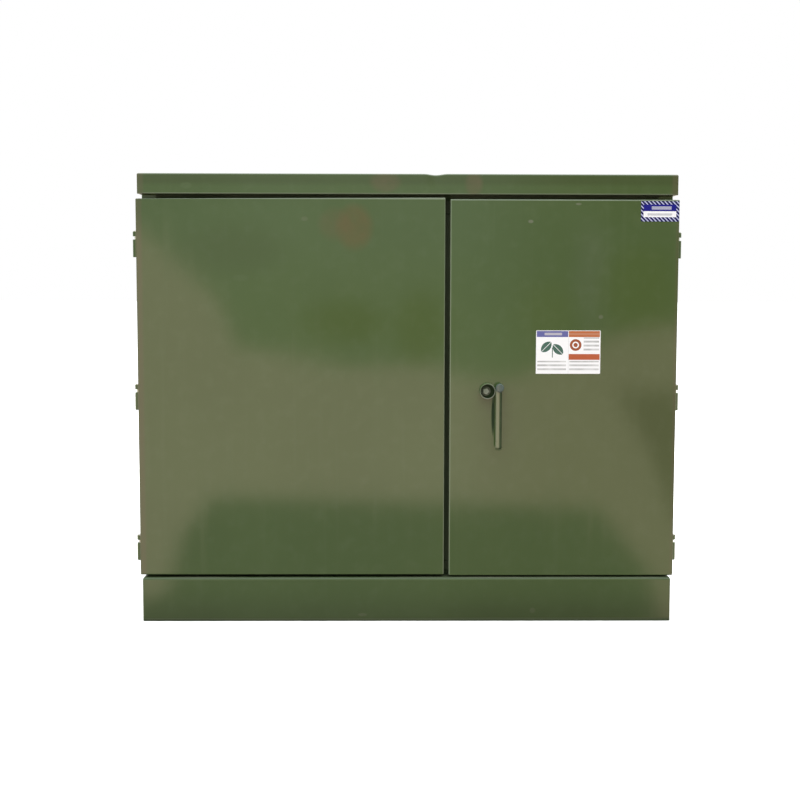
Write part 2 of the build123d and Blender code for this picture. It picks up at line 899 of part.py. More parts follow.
def make_header_pipe(z):
    """One header pipe with two flanged necks into the tank's back."""
    with BuildPart() as pipe:
        with BuildSketch(Plane.YZ.offset(-bank_width / 2 - pipe_overhang)):
            with Locations((pipe_y, z)):
                Circle(pipe_radius)
        extrude(amount=bank_width + 2 * pipe_overhang)
        with BuildSketch(front_plane(pipe_y)):
            with Locations((0, z)):
                with GridLocations(neck_spacing, 1, 2, 1):
                    Circle(neck_radius)
        extrude(amount=pipe_y - tank_back_y)
        with BuildSketch(front_plane(tank_back_y)):
            with Locations((0, z)):
                with GridLocations(neck_spacing, 1, 2, 1):
                    Circle(neck_flange_radius)
        extrude(amount=-neck_flange_thickness)
    return pipe


# High-voltage fittings

def make_hv_bushings():
    """Dead-front bushings: clamp flange, tapered body and the insert's hollow nose."""
    collar_end = hv_collar_start + hv_collar_width
    with BuildPart() as bushings:
        for x, z in hv_places:
            with BuildSketch(turning_plane(x, plate_face_y, z)):
                with BuildLine():
                    Polyline(
                        (0, 0), (0, hv_flange_radius), (hv_flange_thickness, hv_flange_radius),
                        (hv_flange_thickness, hv_root_radius),
                        (hv_collar_start, hv_nose_radius), (hv_collar_start, hv_collar_radius),
                        (collar_end, hv_collar_radius), (collar_end, hv_nose_radius),
                        (hv_length, hv_tip_radius), (hv_length, hv_bore_radius),
                        (hv_length - hv_bore_depth, hv_bore_radius),
                        (hv_length - hv_bore_depth, 0), close=True,
                    )
                make_face()
            revolve(axis=forward_axis(x, plate_face_y, z))
    return bushings


def make_parking_stands():
    """Slotted shelves below the bushings, where an elbow is parked."""
    reach_y = plate_face_y - stand_reach
    with BuildPart() as stands:
        for x, z in hv_places:
            top = z - stand_drop
            low = top - stand_height
            with BuildSketch(Plane.YZ.offset(x - stand_width / 2)):
                with BuildLine():
                    Polyline(
                        (plate_face_y, top), (plate_face_y, low),
                        (plate_face_y - sheet, low), (plate_face_y - sheet, top - sheet),
                        (reach_y, top - sheet), (reach_y, top), close=True,
                    )
                make_face()
            extrude(amount=stand_width)
            with BuildSketch(Plane.XY.offset(low)):
                with Locations((x, reach_y)):
                    SlotOverall(2 * stand_slot_depth, stand_slot_width, rotation=90)
            extrude(amount=stand_height, mode=Mode.SUBTRACT)
    return stands


def make_fuse_holders():
    """Draw-out fuse holders, leaning up and forward out of the tank's face."""
    with BuildPart() as holders:
        for x in fuse_xs:
            face = Plane(origin=(x, plate_face_y, fuse_z), x_dir=(1, 0, 0), z_dir=(0, -1, 0))
            lean = face.rotated((-fuse_tilt, 0, 0))
            with BuildSketch(lean.offset(-fuse_length)):
                Circle(fuse_radius)
            extrude(amount=2 * fuse_length)
            with BuildSketch(lean.offset(fuse_length)):
                Circle(fuse_radius + fuse_cap_rim)
            extrude(amount=fuse_cap_height)
            with BuildSketch(face):
                Circle(fuse_radius + fuse_flange_rim)
            extrude(amount=fuse_flange_thickness)
            with BuildSketch(face):
                Rectangle(4 * fuse_radius, 4 * fuse_length)
            extrude(amount=-2 * fuse_length, mode=Mode.SUBTRACT)
    return holders


def make_rotary_control(z, grip_length):
    """A switch or tap-changer operator: flange, body, stem and a crossbar grip."""
    grip_y = plate_face_y - control_length + grip_thickness
    with BuildPart() as control:
        with BuildSketch(turning_plane(control_x, plate_face_y, z)):
            with BuildLine():
                Polyline(
                    (0, 0), (0, control_flange_radius),
                    (control_flange_thickness, control_flange_radius),
                    (control_flange_thickness, control_body_radius),
                    (control_body_length, control_body_radius),
                    (control_body_length, control_stem_radius),
                    (control_length, control_stem_radius), (control_length, 0), close=True,
                )
            make_face()
        revolve(axis=forward_axis(control_x, plate_face_y, z))
        with BuildSketch(front_plane(grip_y)):
            with Locations((control_x, z)):
                SlotOverall(grip_length, grip_width)
        extrude(amount=grip_thickness)
    return control


# Low-voltage fittings

def make_lv_bushings():
    """Moulded low-voltage bushings with two sheds each."""
    sheds = []
    for i in range(2):
        peak = lv_first_shed + i * lv_shed_pitch
        sheds += [
            (peak - lv_shed_half, lv_body_radius), (peak, lv_shed_radius),
            (peak + lv_shed_half, lv_body_radius),
        ]
    with BuildPart() as bushings:
        for x, z in lv_places:
            with BuildSketch(turning_plane(x, plate_face_y, z)):
                with BuildLine():
                    Polyline(
                        (0, 0), (0, lv_flange_radius), (lv_flange_thickness, lv_flange_radius),
                        (lv_flange_thickness, lv_body_radius), *sheds,
                        (lv_length, lv_tip_radius), (lv_length, 0), close=True,
                    )
                make_face()
            revolve(axis=forward_axis(x, plate_face_y, z))
    return bushings


def make_lv_spades():
    """Tinned terminals: a collar on the bushing and an upright blade with four holes."""
    face = plate_face_y - lv_length
    blade_y = face - spade_collar_length - spade_length / 2
    with BuildPart() as spades:
        for x, z in lv_places:
            with BuildSketch(front_plane(face)):
                with Locations((x, z)):
                    Circle(spade_collar_radius)
            extrude(amount=spade_collar_length)
            with BuildSketch(Plane.YZ.offset(x - spade_thickness / 2)):
                with Locations((blade_y, z)):
                    Rectangle(spade_length, spade_height)
                    with GridLocations(nema_pitch, nema_pitch, 2, 2):
                        Circle(spade_hole_radius, mode=Mode.SUBTRACT)
            extrude(amount=spade_thickness)
    return spades


def make_gauges():
    """Liquid-level gauge and thermometer: cases with a raised bezel."""
    glass = gauge_depth - gauge_recess
    with BuildPart() as gauges:
        for z in gauge_heights:
            with BuildSketch(turning_plane(gauge_x, plate_face_y, z)):
                with BuildLine():
                    Polyline(
                        (0, 0), (0, gauge_neck_radius), (gauge_neck_length, gauge_neck_radius),
                        (gauge_neck_length, gauge_radius), (gauge_depth, gauge_radius),
                        (gauge_depth, gauge_radius - gauge_bezel),
                        (glass, gauge_radius - gauge_bezel), (glass, 0), close=True,
                    )
                make_face()
            revolve(axis=forward_axis(gauge_x, plate_face_y, z))
    return gauges


def make_relief_valve():
    """Pressure-relief valve with its wider cap and pull stud."""
    cap_end = relief_body_length + relief_cap_length
    with BuildPart() as valve:
        with BuildSketch(turning_plane(relief_x, plate_face_y, relief_z)):
            with BuildLine():
                Polyline(
                    (0, 0), (0, relief_flange_radius),
                    (relief_flange_thickness, relief_flange_radius),
                    (relief_flange_thickness, relief_body_radius),
                    (relief_body_length, relief_body_radius),
                    (relief_body_length, relief_cap_radius), (cap_end, relief_cap_radius),
                    (cap_end, relief_tip_radius), (relief_length, relief_tip_radius),
                    (relief_length, 0), close=True,
                )
            make_face()
        revolve(axis=forward_axis(relief_x, plate_face_y, relief_z))
    return valve


def make_drain_valve():
    """Drain valve: flanged stub, body, plug, bonnet, stem and handwheel."""
    body_end = drain_body_start + drain_body_length
    body_y = plate_face_y - (drain_body_start + body_end) / 2
    wheel_top = drain_wheel_height + drain_wheel_thickness
    with BuildPart() as valve:
        with BuildSketch(turning_plane(drain_x, plate_face_y, drain_z)):
            with BuildLine():
                Polyline(
                    (0, 0), (0, drain_flange_radius),
                    (drain_flange_thickness, drain_flange_radius),
                    (drain_flange_thickness, drain_pipe_radius),
                    (drain_body_start, drain_pipe_radius),
                    (drain_body_start, drain_flange_radius), (body_end, drain_flange_radius),
                    (body_end, drain_plug_radius), (drain_length, drain_plug_radius),
                    (drain_length, 0), close=True,
                )
            make_face()
        revolve(axis=forward_axis(drain_x, plate_face_y, drain_z))
        with BuildSketch(Plane.XY.offset(drain_z)):
            with Locations((drain_x, body_y)):
                Circle(drain_bonnet_radius)
        extrude(amount=drain_bonnet_top)
        with BuildSketch(Plane.XY.offset(drain_z)):
            with Locations((drain_x, body_y)):
                Circle(drain_stem_radius)
        extrude(amount=wheel_top + drain_stem_radius)
        with BuildSketch(Plane.XY.offset(drain_z + drain_wheel_height)):
            with Locations((drain_x, body_y)):
                Circle(drain_wheel_radius)
                with PolarLocations((drain_wheel_radius + drain_stem_radius) / 2, 5):
                    Circle(drain_wheel_hole, mode=Mode.SUBTRACT)
        extrude(amount=drain_wheel_thickness)
    return valve


def make_ground_pads():
    """Ground pads welded low on the tank's face, each with two tapped holes."""
    places = [(x, pad_z) for x in ground_pad_xs]
    with BuildPart() as pads:
        with BuildSketch(front_plane(plate_face_y)):
            with Locations(*places):
                Rectangle(pad_width, pad_height)
        extrude(amount=pad_thickness)
        with BuildSketch(front_plane(plate_face_y - pad_thickness)):
            with Locations(*places):
                with GridLocations(1, nema_pitch, 1, 2):
                    Circle(pad_hole_radius)
        extrude(amount=-pad_hole_depth, mode=Mode.SUBTRACT)
    return pads


left_hats = (stiffener_inset - half_doors, left_door_edge - stiffener_inset)
right_hats = (half_doors - stiffener_inset,)

write(make_side_wall(-1), "side_wall_left")
write(make_side_wall(1), "side_wall_right")
write(make_channel(-inner_jamb_x, inner_jamb_x, header_bottom, header_top), "door_header")
write(make_channel(-inner_jamb_x, inner_jamb_x, rail_bottom, rail_top), "lower_rail")
write(make_centre_post(), "centre_post")
write(make_barrier(), "compartment_barrier")
write(make_hood(), "hood")
write(make_sill(), "front_sill")
write(make_left_door(), "left_door")
write(make_right_door(), "right_door")
write(make_stiffeners(left_hats, 0), "left_door_stiffeners")
write(make_stiffeners(right_hats, right_door_drop), "right_door_stiffener")
write(make_frame_barrels(-1), "left_frame_barrels")
write(make_frame_barrels(1), "right_frame_barrels")
write(make_door_knuckles(-1), "left_door_knuckles")
write(make_door_knuckles(1), "right_door_knuckles")
write(make_pins(-1), "left_hinge_pins")
write(make_pins(1), "right_hinge_pins")
write(make_handle_bearing(), "handle_bearing")
write(make_handle(), "handle")
write(make_latch_cam(), "latch_cam")
write(make_lock_cup(), "lock_cup")
write(make_lock_bolt(), "lock_bolt")
write(make_front_plate(), "tank_front_plate")
write(make_tank(), "tank")
write(make_tank_cover(), "tank_cover")
write(make_handhole_cover(), "handhole_cover")
write(make_handhole_bolts(), "handhole_bolts")
write(make_base_rails(), "base_rails")
write(make_lifting_lugs(), "lifting_lugs")
write(make_jacking_pads(), "jacking_pads")
write(make_radiator_panels(), "radiator_panels")
write(make_header_pipe(pipe_low_z), "radiator_pipe_bottom")
write(make_header_pipe(pipe_high_z), "radiator_pipe_top")
write(make_hv_bushings(), "hv_bushings")
write(make_parking_stands(), "parking_stands")
write(make_fuse_holders(), "fuse_holders")
write(make_rotary_control(switch_z, switch_grip), "load_break_switch")
write(make_rotary_control(tap_z, tap_grip), "tap_changer")
write(make_lv_bushings(), "lv_bushings")
write(make_lv_spades(), "lv_spades")
write(make_gauges(), "gauges")
write(make_relief_valve(), "relief_valve")
write(make_drain_valve(), "drain_valve")
write(make_ground_pads(), "ground_pads")
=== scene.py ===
import math

import bmesh
import bpy
from mathutils import Matrix, Vector


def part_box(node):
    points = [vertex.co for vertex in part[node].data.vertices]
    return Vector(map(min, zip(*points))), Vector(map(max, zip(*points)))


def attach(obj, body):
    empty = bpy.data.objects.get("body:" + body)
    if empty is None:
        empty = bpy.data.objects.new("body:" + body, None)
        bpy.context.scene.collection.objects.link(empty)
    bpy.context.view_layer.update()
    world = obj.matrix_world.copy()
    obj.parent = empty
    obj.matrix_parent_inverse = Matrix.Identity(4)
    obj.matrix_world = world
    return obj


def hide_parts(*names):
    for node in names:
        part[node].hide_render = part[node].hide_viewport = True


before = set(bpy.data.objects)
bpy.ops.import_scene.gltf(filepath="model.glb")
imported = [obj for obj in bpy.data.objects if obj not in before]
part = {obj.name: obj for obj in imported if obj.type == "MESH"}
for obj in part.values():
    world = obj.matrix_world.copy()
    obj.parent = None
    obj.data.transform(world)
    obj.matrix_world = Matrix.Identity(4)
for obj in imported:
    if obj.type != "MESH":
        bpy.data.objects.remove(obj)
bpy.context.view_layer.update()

# Skid rails: two thick steel bars under the tank, cut back at both ends for dragging.
# They are welded on and sprayed with the tank, in the satin-gloss green that the whole
# unit carries. The paint's own recipe is set out here, where it is first used.


class Wire:
    """One output of a node. Sums and products of wires add the Math nodes that they need."""

    def __init__(self, board, socket):
        self.board, self.socket = board, socket

    def maths(self, operation, *others):
        sockets = dict(enumerate((self, *others)))
        return self.board.node("ShaderNodeMath", {"operation": operation}, sockets)

    def out(self, name):
        return Wire(self.board, self.socket.node.outputs[name])

    def __add__(self, other):
        return self.maths("ADD", other)

    __radd__ = __add__

    def __sub__(self, other):
        return self.maths("SUBTRACT", other)

    def __rsub__(self, other):
        return self.maths("MULTIPLY_ADD", -1.0, other)

    def __mul__(self, other):
        return self.maths("MULTIPLY", other)

    __rmul__ = __mul__

    def __truediv__(self, other):
        return self.maths("DIVIDE", other)

    def rise(self, low, high):
        """0 up to low, 1 from high, with a smooth ramp between."""
        settings = {"interpolation_type": "SMOOTHSTEP"}
        return self.board.node("ShaderNodeMapRange", settings, {0: self, 1: low, 2: high})

    def between(self, low, high):
        """1 from low to high, else 0, with hard edges."""
        return self.maths("COMPARE", (low + high) / 2, (high - low) / 2)


class Board:
    """A node tree being wired up, of a material, of the light or of a repeated piece."""

    def __init__(self, tree):
        self.tree = tree
        tree.nodes.clear()

    def node(self, kind, settings=None, sockets=None, out=0):
        """Adds a node: first its settings, then the value or the wire of each socket."""
        made = self.tree.nodes.new(kind)
        for name, value in (settings or {}).items():
            setattr(made, name, value)
        for name, value in (sockets or {}).items():
            if isinstance(value, Wire):
                self.tree.links.new(value.socket, made.inputs[name])
            else:
                made.inputs[name].default_value = value
        return Wire(self, made.outputs[out]) if made.outputs else made

    def mixed(self, share, first, second):
        """The first colour where share is 0, the second where it is 1."""
        settings = {"data_type": "RGBA"}
        return self.node("ShaderNodeMix", settings, {0: share, 6: first, 7: second}, out=2)

    def layered(self, colour, *layers):
        """Colours laid over one another, each in the share that comes with it."""
        for share, tint in layers:
            colour = self.mixed(share, colour, tint)
        return colour

    def place(self):
        """Where on the piece a point lies, in the piece's own metres."""
        return self.node("ShaderNodeTexCoord").out("Object")

    def split(self, vector):
        axes = self.node("ShaderNodeSeparateXYZ", {}, {0: vector})
        return [axes.out(axis) for axis in "XYZ"]

    def bump(self, strength, distance, height, **under):
        """Small relief from a height, laid over an earlier Normal if one is given."""
        sockets = {"Strength": strength, "Distance": distance, "Height": height, **under}
        return self.node("ShaderNodeBump", {}, sockets)

    def join(self, joint, geometry):
        self.tree.links.new(geometry.socket, joint.socket.node.inputs[0])

    def noise(self, place, scale, detail=2.0, stretch=None):
        if stretch:
            place = self.node("ShaderNodeMapping", {}, {"Vector": place, "Scale": stretch})
        sockets = {"Vector": place, "Scale": scale, "Detail": detail}
        return self.node("ShaderNodeTexNoise", {}, sockets)

    def spot(self, x, z, centre, half):
        """A soft oval mark round a place on a wall: 1 at its middle, 0 at its rim."""
        across, up = (x - centre[0]) / half[0], (z - centre[1]) / half[1]
        return (1 - (across * across + up * up)).maths("MAXIMUM", 0.0).rise(0.0, 0.8)


def new_finish(name):
    material = bpy.data.materials.new(name)
    material.use_nodes = True
    return material, Board(material.node_tree)


def surface(board, fixed, colour, rough, **relief):
    """The shader of a finish, with its fixed numbers set on its own sockets."""
    sockets = {**fixed, "Base Color": colour, "Roughness": rough, **relief}
    shader = board.node("ShaderNodeBsdfPrincipled", {}, sockets)
    board.node("ShaderNodeOutputMaterial", {}, {"Surface": shader})


def dress(material, *names):
    """Gives CAD nodes their finish."""
    for name in names:
        for slot in part[name].material_slots:
            slot.material = material


GREEN = (0.0600, 0.0960, 0.0350, 1)
DEEP_GREEN = (0.0540, 0.0880, 0.0310, 1)
PALE_GREEN = (0.0760, 0.1120, 0.0500, 1)
# Painted shade: the dark laid into gaps, hollows and beside and under parts, where shade falls.
PAINTED_SHADE = (0.011, 0.030, 0.006, 1)
DUST = (0.20, 0.185, 0.145, 1)
# Splash and shade: the darkening at the foot, for splashed soil and painted shade of the ground.
SPLASH_AND_SHADE = (0.031, 0.048, 0.018, 1)
SPLASH_AND_SHADE_HEIGHT = 0.11
SKIN_DEPTH = (0.0012, 0.0018)


def green_paint(where, marks=(), splash_and_shade=0.0, tone=1.0, folds=(), skin=None):
    """Gloss olive enamel: slow changes of tone, faint rain streaks, orange peel, dust on
    what faces up, splashed soil and painted ground shade near the ground, lines of a given
    tint along folds and gaps (painted highlights, painted shade and dirt), and marks at given
    places, painted light and shade among them, on the outer face alone where skin gives its depth."""
    material, board = new_finish("green_enamel_" + where)
    place = board.place()
    x, y, z = board.split(place)
    broad = board.noise(place, 1.7, 3.0)
    mottle = board.noise(place, 26.0, 4.0)
    streak = board.noise(place, 1.0, 3.0, stretch=(38.0, 38.0, 1.6))
    smear = board.noise(place, 4.5, 4.0, stretch=(1.0, 1.0, 0.6))
    colour = board.layered(
        DEEP_GREEN, (broad.rise(0.35, 0.7), GREEN), (mottle.rise(0.45, 0.8) * 0.35, PALE_GREEN),
        (streak.rise(0.55, 0.8) * 0.22, PALE_GREEN),
    )
    dull = 0.0
    # Fold lines in their tint: pale ones are painted highlights on the bends, painted shade ones
    # darken gaps.
    for tint, share, axis, level, reach in folds:
        aside = ((x if axis == "x" else z) - level).maths("ABSOLUTE")
        line = (1 - aside.rise(reach * 0.5, reach)) * (0.6 + 0.7 * smear)
        colour = board.mixed(line * share, colour, tint)
        dull = dull + line * share if tint == PAINTED_SHADE else dull
    for tint, share, centre, half in marks:
        ragged = board.spot(x, z, centre, half) * (0.35 + mottle)
        if skin is not None:
            ragged = ragged * (1 - (y - skin).rise(*SKIN_DEPTH))
        colour = board.mixed(ragged * share, colour, tint)
        dull = dull + ragged * share if tint == PAINTED_SHADE else dull
    # Darker towards the ground: splashed soil and painted shade of the ground.
    if splash_and_shade:
        low = (1 - z.rise(0.0, SPLASH_AND_SHADE_HEIGHT)) * (0.6 + 0.6 * smear)
        colour = board.mixed(low * splash_and_shade, colour, SPLASH_AND_SHADE)
    upward = board.split(board.node("ShaderNodeNewGeometry").out("Normal"))[2].rise(0.75, 1.0)
    dusty = upward * (0.12 + 0.55 * smear.rise(0.4, 0.75))
    colour = board.mixed(dusty * 0.55, colour, DUST)
    if tone != 1.0:
        colour = board.mixed(1.0 - tone, colour, (0, 0, 0, 1))
    rough = 0.038 + 0.030 * smear + 0.03 * streak.rise(0.5, 0.8) + 0.32 * dusty
    if dull != 0.0:
        rough = rough + 0.7 * dull.maths("MINIMUM", 1.0)
    peel = board.bump(0.35, 0.00004, board.noise(place, 330.0, 2.0))
    wavy = board.bump(1.0, 0.0004, board.noise(place, 2.6, 1.0), Normal=peel)
    surface(board, {"IOR": 1.5}, colour, rough, Normal=wavy)
    return material


tank_paint = green_paint("tank", splash_and_shade=0.5)
dress(tank_paint, "base_rails")

# Tank: a sealed box of folded plate with the lid and the front plate welded to it.
# The seams are hand-laid beads with the ripples of each stop, sprayed over in green.


def repeat_tree(name, lengths, others):
    """A Geometry Nodes tree with named inputs; its first input is the geometry."""
    tree = bpy.data.node_groups.new(name, "GeometryNodeTree")
    board = Board(tree)
    face = tree.interface
    face.new_socket("Geometry", in_out="INPUT", socket_type="NodeSocketGeometry")
    for label, kind in [(label, "Float") for label in lengths] + others:
        face.new_socket(label, in_out="INPUT", socket_type="NodeSocket" + kind)
    face.new_socket("Geometry", in_out="OUTPUT", socket_type="NodeSocketGeometry")
    return board, board.node("NodeGroupInput")


def end_tree(board, geometry, material, smooth=True):
    """Turns the copies into real faces, gives them their finish and sends them out."""
    real = board.node("GeometryNodeRealizeInstances", {}, {"Geometry": geometry})
    shade = {"Geometry": real, "Shade Smooth": smooth}
    real = board.node("GeometryNodeSetShadeSmooth", {}, shade)
    real = board.node("GeometryNodeSetMaterial", {}, {"Geometry": real, "Material": material})
    board.node("NodeGroupOutput", {}, {0: real})


def into_scene(name, data):
    """Puts a mesh, a lamp or the camera into the scene as an object."""
    made = bpy.data.objects.new(name, data)
    bpy.context.scene.collection.objects.link(made)
    return made


def copied(board, group, piece, **turn):
    """A copy of the piece at each point that comes in."""
    sockets = {"Points": group.out("Geometry"), "Instance": piece, **turn}
    return board.node("GeometryNodeInstanceOnPoints", {}, sockets)


def grown(name, body, board, points, edges, values):
    """Runs a tree on points or on lines, and keeps the result as a plain mesh on a body."""
    seed = bpy.data.meshes.new(name)
    seed.from_pydata([tuple(p) for p in points], edges, [])
    source = into_scene(name + "_seed", seed)
    modifier = source.modifiers.new("grow", "NODES")
    modifier.node_group = board.tree
    for item in board.tree.interface.items_tree:
        if item.in_out == "INPUT" and item.name in values:
            modifier[item.identifier] = values[item.name]
    ready = source.evaluated_get(bpy.context.evaluated_depsgraph_get())
    mesh = bpy.data.meshes.new_from_object(ready)
    source.modifiers.remove(modifier)
    bpy.data.objects.remove(source)
    mesh.name = name
    piece = into_scene(name, mesh)
    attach(piece, body)
    return piece


weld_board, weld_in = repeat_tree("weld_bead", ["Bead radius", "Ripple pitch"], [
    ("Paint", "Material"),
])
seam = weld_board.node("GeometryNodeMeshToCurve", {}, {"Mesh": weld_in.out("Geometry")})
pitch = weld_in.out("Ripple pitch")
seam = weld_board.node("GeometryNodeResampleCurve", {"mode": "LENGTH"}, {
    "Curve": seam, "Length": pitch * 0.25,
})
along = weld_board.node("GeometryNodeSplineParameter").out("Length") / pitch
RIPPLE_SHARE, BEAD_SIDES = 0.34, 7
ripple = 1 - RIPPLE_SHARE * along.maths("FRACT")
bead_profile = weld_board.node("GeometryNodeCurvePrimitiveCircle", {}, {
    "Resolution": BEAD_SIDES, "Radius": weld_in.out("Bead radius"),
})
seam = weld_board.node("GeometryNodeSetCurveRadius", {}, {"Curve": seam, "Radius": ripple})
seam = weld_board.node("GeometryNodeCurveToMesh", {}, {
    "Curve": seam, "Profile Curve": bead_profile, "Fill Caps": True,
})
end_tree(weld_board, seam, weld_in.out("Paint"))


def weld(name, lines, radius, paint):
    """One bead along each line of points."""
    points, edges = [], []
    for line in lines:
        first = len(points)
        points += line
        edges += [(first + i, first + i + 1) for i in range(len(line) - 1)]
    values = {"Bead radius": radius, "Ripple pitch": radius * 1.5, "Paint": paint}
    return grown(name, "cabinet_and_tank", weld_board, points, edges, values)


dress(tank_paint, "tank", "tank_cover", "tank_front_plate")
tank_low, tank_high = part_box("tank")
lid_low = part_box("tank_cover")[0]
plate_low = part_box("tank_front_plate")[0]
weld_lines = []
for end in (tank_low.x, tank_high.x):
    weld_lines.append([(end, tank_low.y, tank_low.z + 0.01), (end, tank_low.y, lid_low.z)])
lid_line = lid_low.z - 0.001
TURN, TURN_CUT, SEAM_START = 0.022, 0.022 * 0.29, 0.004
left_half = [
    (tank_low.x, tank_low.y + SEAM_START), (tank_low.x, tank_high.y - TURN),
    (tank_low.x + TURN_CUT, tank_high.y - TURN_CUT), (tank_low.x + TURN, tank_high.y),
]
right_half = [
    (tank_high.x - TURN, tank_high.y), (tank_high.x - TURN_CUT, tank_high.y - TURN_CUT),
    (tank_high.x, tank_high.y - TURN), (tank_high.x, tank_low.y + SEAM_START),
]
weld_lines.append([(x, y, lid_line) for x, y in left_half + right_half])
weld("tank_seam_welds", weld_lines, 0.0042, tank_paint)

# Handhole: a loose plate on the lid, drawn down on its gasket by eight plated bolts
# with washers. It is opened only for work on the windings' leads.

handhole_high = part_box("handhole_cover")[1]
dress(tank_paint, "handhole_cover")


def metal(name, colour, rough, relief=0.00004, grain=(1.0, 1.0, 1.0), dull=(0.2, 0.19, 0.17, 1)):
    """Bare or plated metal: cloudy tone, fine grain along one way, and dull patches."""
    material, board = new_finish(name)
    place = board.place()
    cloud = board.noise(place, 38.0, 4.0)
    fine = board.noise(place, 620.0, 2.0, stretch=grain)
    tone = board.layered(
        colour, (cloud.rise(0.35, 0.75) * 0.45, dull), (fine * 0.12, (0.9, 0.9, 0.9, 1)),
    )
    level = rough + 0.16 * cloud.rise(0.4, 0.8) + 0.08 * fine
    grained = board.bump(0.6, relief, fine)
    surface(board, {"Metallic": 1.0}, tone, level, Normal=grained)
    return material


zinc_plate = metal("zinc_plate", (0.50, 0.50, 0.47, 1), 0.30)

bolt_board, bolt_in = repeat_tree("hex_bolt", [
    "Head radius", "Head height", "Washer radius", "Washer height",
], [("Facing", "Vector"), ("Metal", "Material")])
head_radius, head_height = bolt_in.out("Head radius"), bolt_in.out("Head height")
washer_height = bolt_in.out("Washer height")


def lifted(board, geometry, height):
    """A primitive moved up along its own axis."""
    up = board.node("ShaderNodeCombineXYZ", {}, {"Z": height})
    return board.node("GeometryNodeTransform", {}, {"Geometry": geometry, "Translation": up})


washer = bolt_board.node("GeometryNodeMeshCylinder", {}, {
    "Vertices": 20, "Radius": bolt_in.out("Washer radius"), "Depth": washer_height,
})
head = bolt_board.node("GeometryNodeMeshCylinder", {}, {
    "Vertices": 6, "Radius": head_radius, "Depth": head_height * 0.8,
})
crown = bolt_board.node("GeometryNodeMeshCone", {}, {
    "Vertices": 6, "Radius Top": head_radius * 0.84, "Radius Bottom": head_radius,
    "Depth": head_height * 0.2,
})
bolt = bolt_board.node("GeometryNodeJoinGeometry")
for geometry, height in (
    (washer, washer_height * 0.5),
    (head, washer_height + head_height * 0.4),
    (crown, washer_height + head_height * 0.8),
):
    bolt_board.join(bolt, lifted(bolt_board, geometry, height))
bolts = copied(bolt_board, bolt_in, bolt, Rotation=bolt_in.out("Facing"))
end_tree(bolt_board, bolts, bolt_in.out("Metal"), smooth=False)

UP, FRONT, REAR = (0, 0, 0), (math.pi / 2, 0, 0), (-math.pi / 2, 0, 0)
WASHER_HEIGHT, CROWN_CLEAR = 0.0012, 0.0001


def bolted(name, places, radius, height, facing, material, washer=1.35):
    """A hex head on its washer at each place."""
    values = {
        "Head radius": radius, "Head height": height, "Washer radius": radius * washer,
        "Washer height": WASHER_HEIGHT, "Facing": facing, "Metal": material,
    }
    return grown(name, "cabinet_and_tank", bolt_board, places, [], values)


bolt_low, bolt_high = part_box("handhole_bolts")
LID_BOLT, LID_COLUMNS = 0.0066, 4
bolt_row = bolt_high.x - bolt_low.x - 2 * LID_BOLT
across = [bolt_low.x + LID_BOLT + bolt_row * i / (LID_COLUMNS - 1) for i in range(LID_COLUMNS)]
handhole_places = [
    (x, y, handhole_high.z) for x in across for y in (bolt_low.y + LID_BOLT, bolt_high.y - LID_BOLT)
]
head_span = bolt_high.z - handhole_high.z - WASHER_HEIGHT - CROWN_CLEAR
lid_bolts = bolted("handhole_hex_bolts", handhole_places, LID_BOLT, head_span, UP, zinc_plate)
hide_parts("handhole_bolts")

# Lifting lugs and jacking pads: thick plates welded edge-on to the tank's sides, for a
# crane's shackles and for jack heads. A bead runs down both faces of each plate.

dress(tank_paint, "lifting_lugs", "jacking_pads")
lug_low, lug_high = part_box("lifting_lugs")
jack_low, jack_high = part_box("jacking_pads")
LUG_THICKNESS, PAD_HALF_WIDTH, PAD_HALF_PLATE = 0.014, 0.035, 0.006
WELD_STAND, PAD_STEP, RIB_END, PAD_UNDER = 0.0005, 0.132, 0.002, 0.001
lug_lines = []
for side in (tank_low.x - WELD_STAND, tank_high.x + WELD_STAND):
    for face in (lug_low.y, lug_low.y + LUG_THICKNESS, lug_high.y - LUG_THICKNESS, lug_high.y):
        lug_lines.append([(side, face, lug_low.z), (side, face, lug_high.z)])
    for pad_y in (jack_low.y + PAD_HALF_WIDTH, jack_high.y - PAD_HALF_WIDTH):
        for face in (pad_y - PAD_HALF_PLATE, pad_y + PAD_HALF_PLATE):
            lug_lines.append([(side, face, PAD_STEP), (side, face, jack_high.z - RIB_END)])
        lug_lines.append([
            (side, pad_y + reach, jack_low.z - PAD_UNDER)
            for reach in (-PAD_HALF_WIDTH, PAD_HALF_WIDTH)
        ])
weld("lug_and_pad_welds", lug_lines, 0.0036, tank_paint)

# Radiator panels: pairs of pressed sheets, seam-welded round the rim, with upright oil
# channels swelling between them. Fourteen hang on the two header pipes behind the tank.

fin_low, fin_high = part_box("radiator_panels")
fin_board, fin_in = repeat_tree("radiator_panel", [
    "Half depth", "Half height", "Corner", "Thickness", "Rim thickness", "Channels",
], [("Paint", "Material")])
DEPTH_STEPS, HEIGHT_STEPS = 42, 48
half_depth, half_height = fin_in.out("Half depth"), fin_in.out("Half height")
corner = fin_in.out("Corner")
sheet = fin_board.node("GeometryNodeMeshGrid", {}, {
    "Size X": 2.0, "Size Y": 2.0, "Vertices X": DEPTH_STEPS, "Vertices Y": HEIGHT_STEPS,
})
sheet_x, sheet_y, _ = fin_board.split(fin_board.node("GeometryNodeInputPosition"))
depth_scale = (DEPTH_STEPS - 1) / (DEPTH_STEPS - 3)
height_scale = (HEIGHT_STEPS - 1) / (HEIGHT_STEPS - 3)
across_raw, up_raw = sheet_x * depth_scale, sheet_y * height_scale
on_rim = across_raw.maths("ABSOLUTE").maths("MAXIMUM", up_raw.maths("ABSOLUTE"))
on_rim = on_rim.maths("GREATER_THAN", 1.0001)
share_across = across_raw.maths("MINIMUM", 1.0).maths("MAXIMUM", -1.0)
share_up = up_raw.maths("MINIMUM", 1.0).maths("MAXIMUM", -1.0)
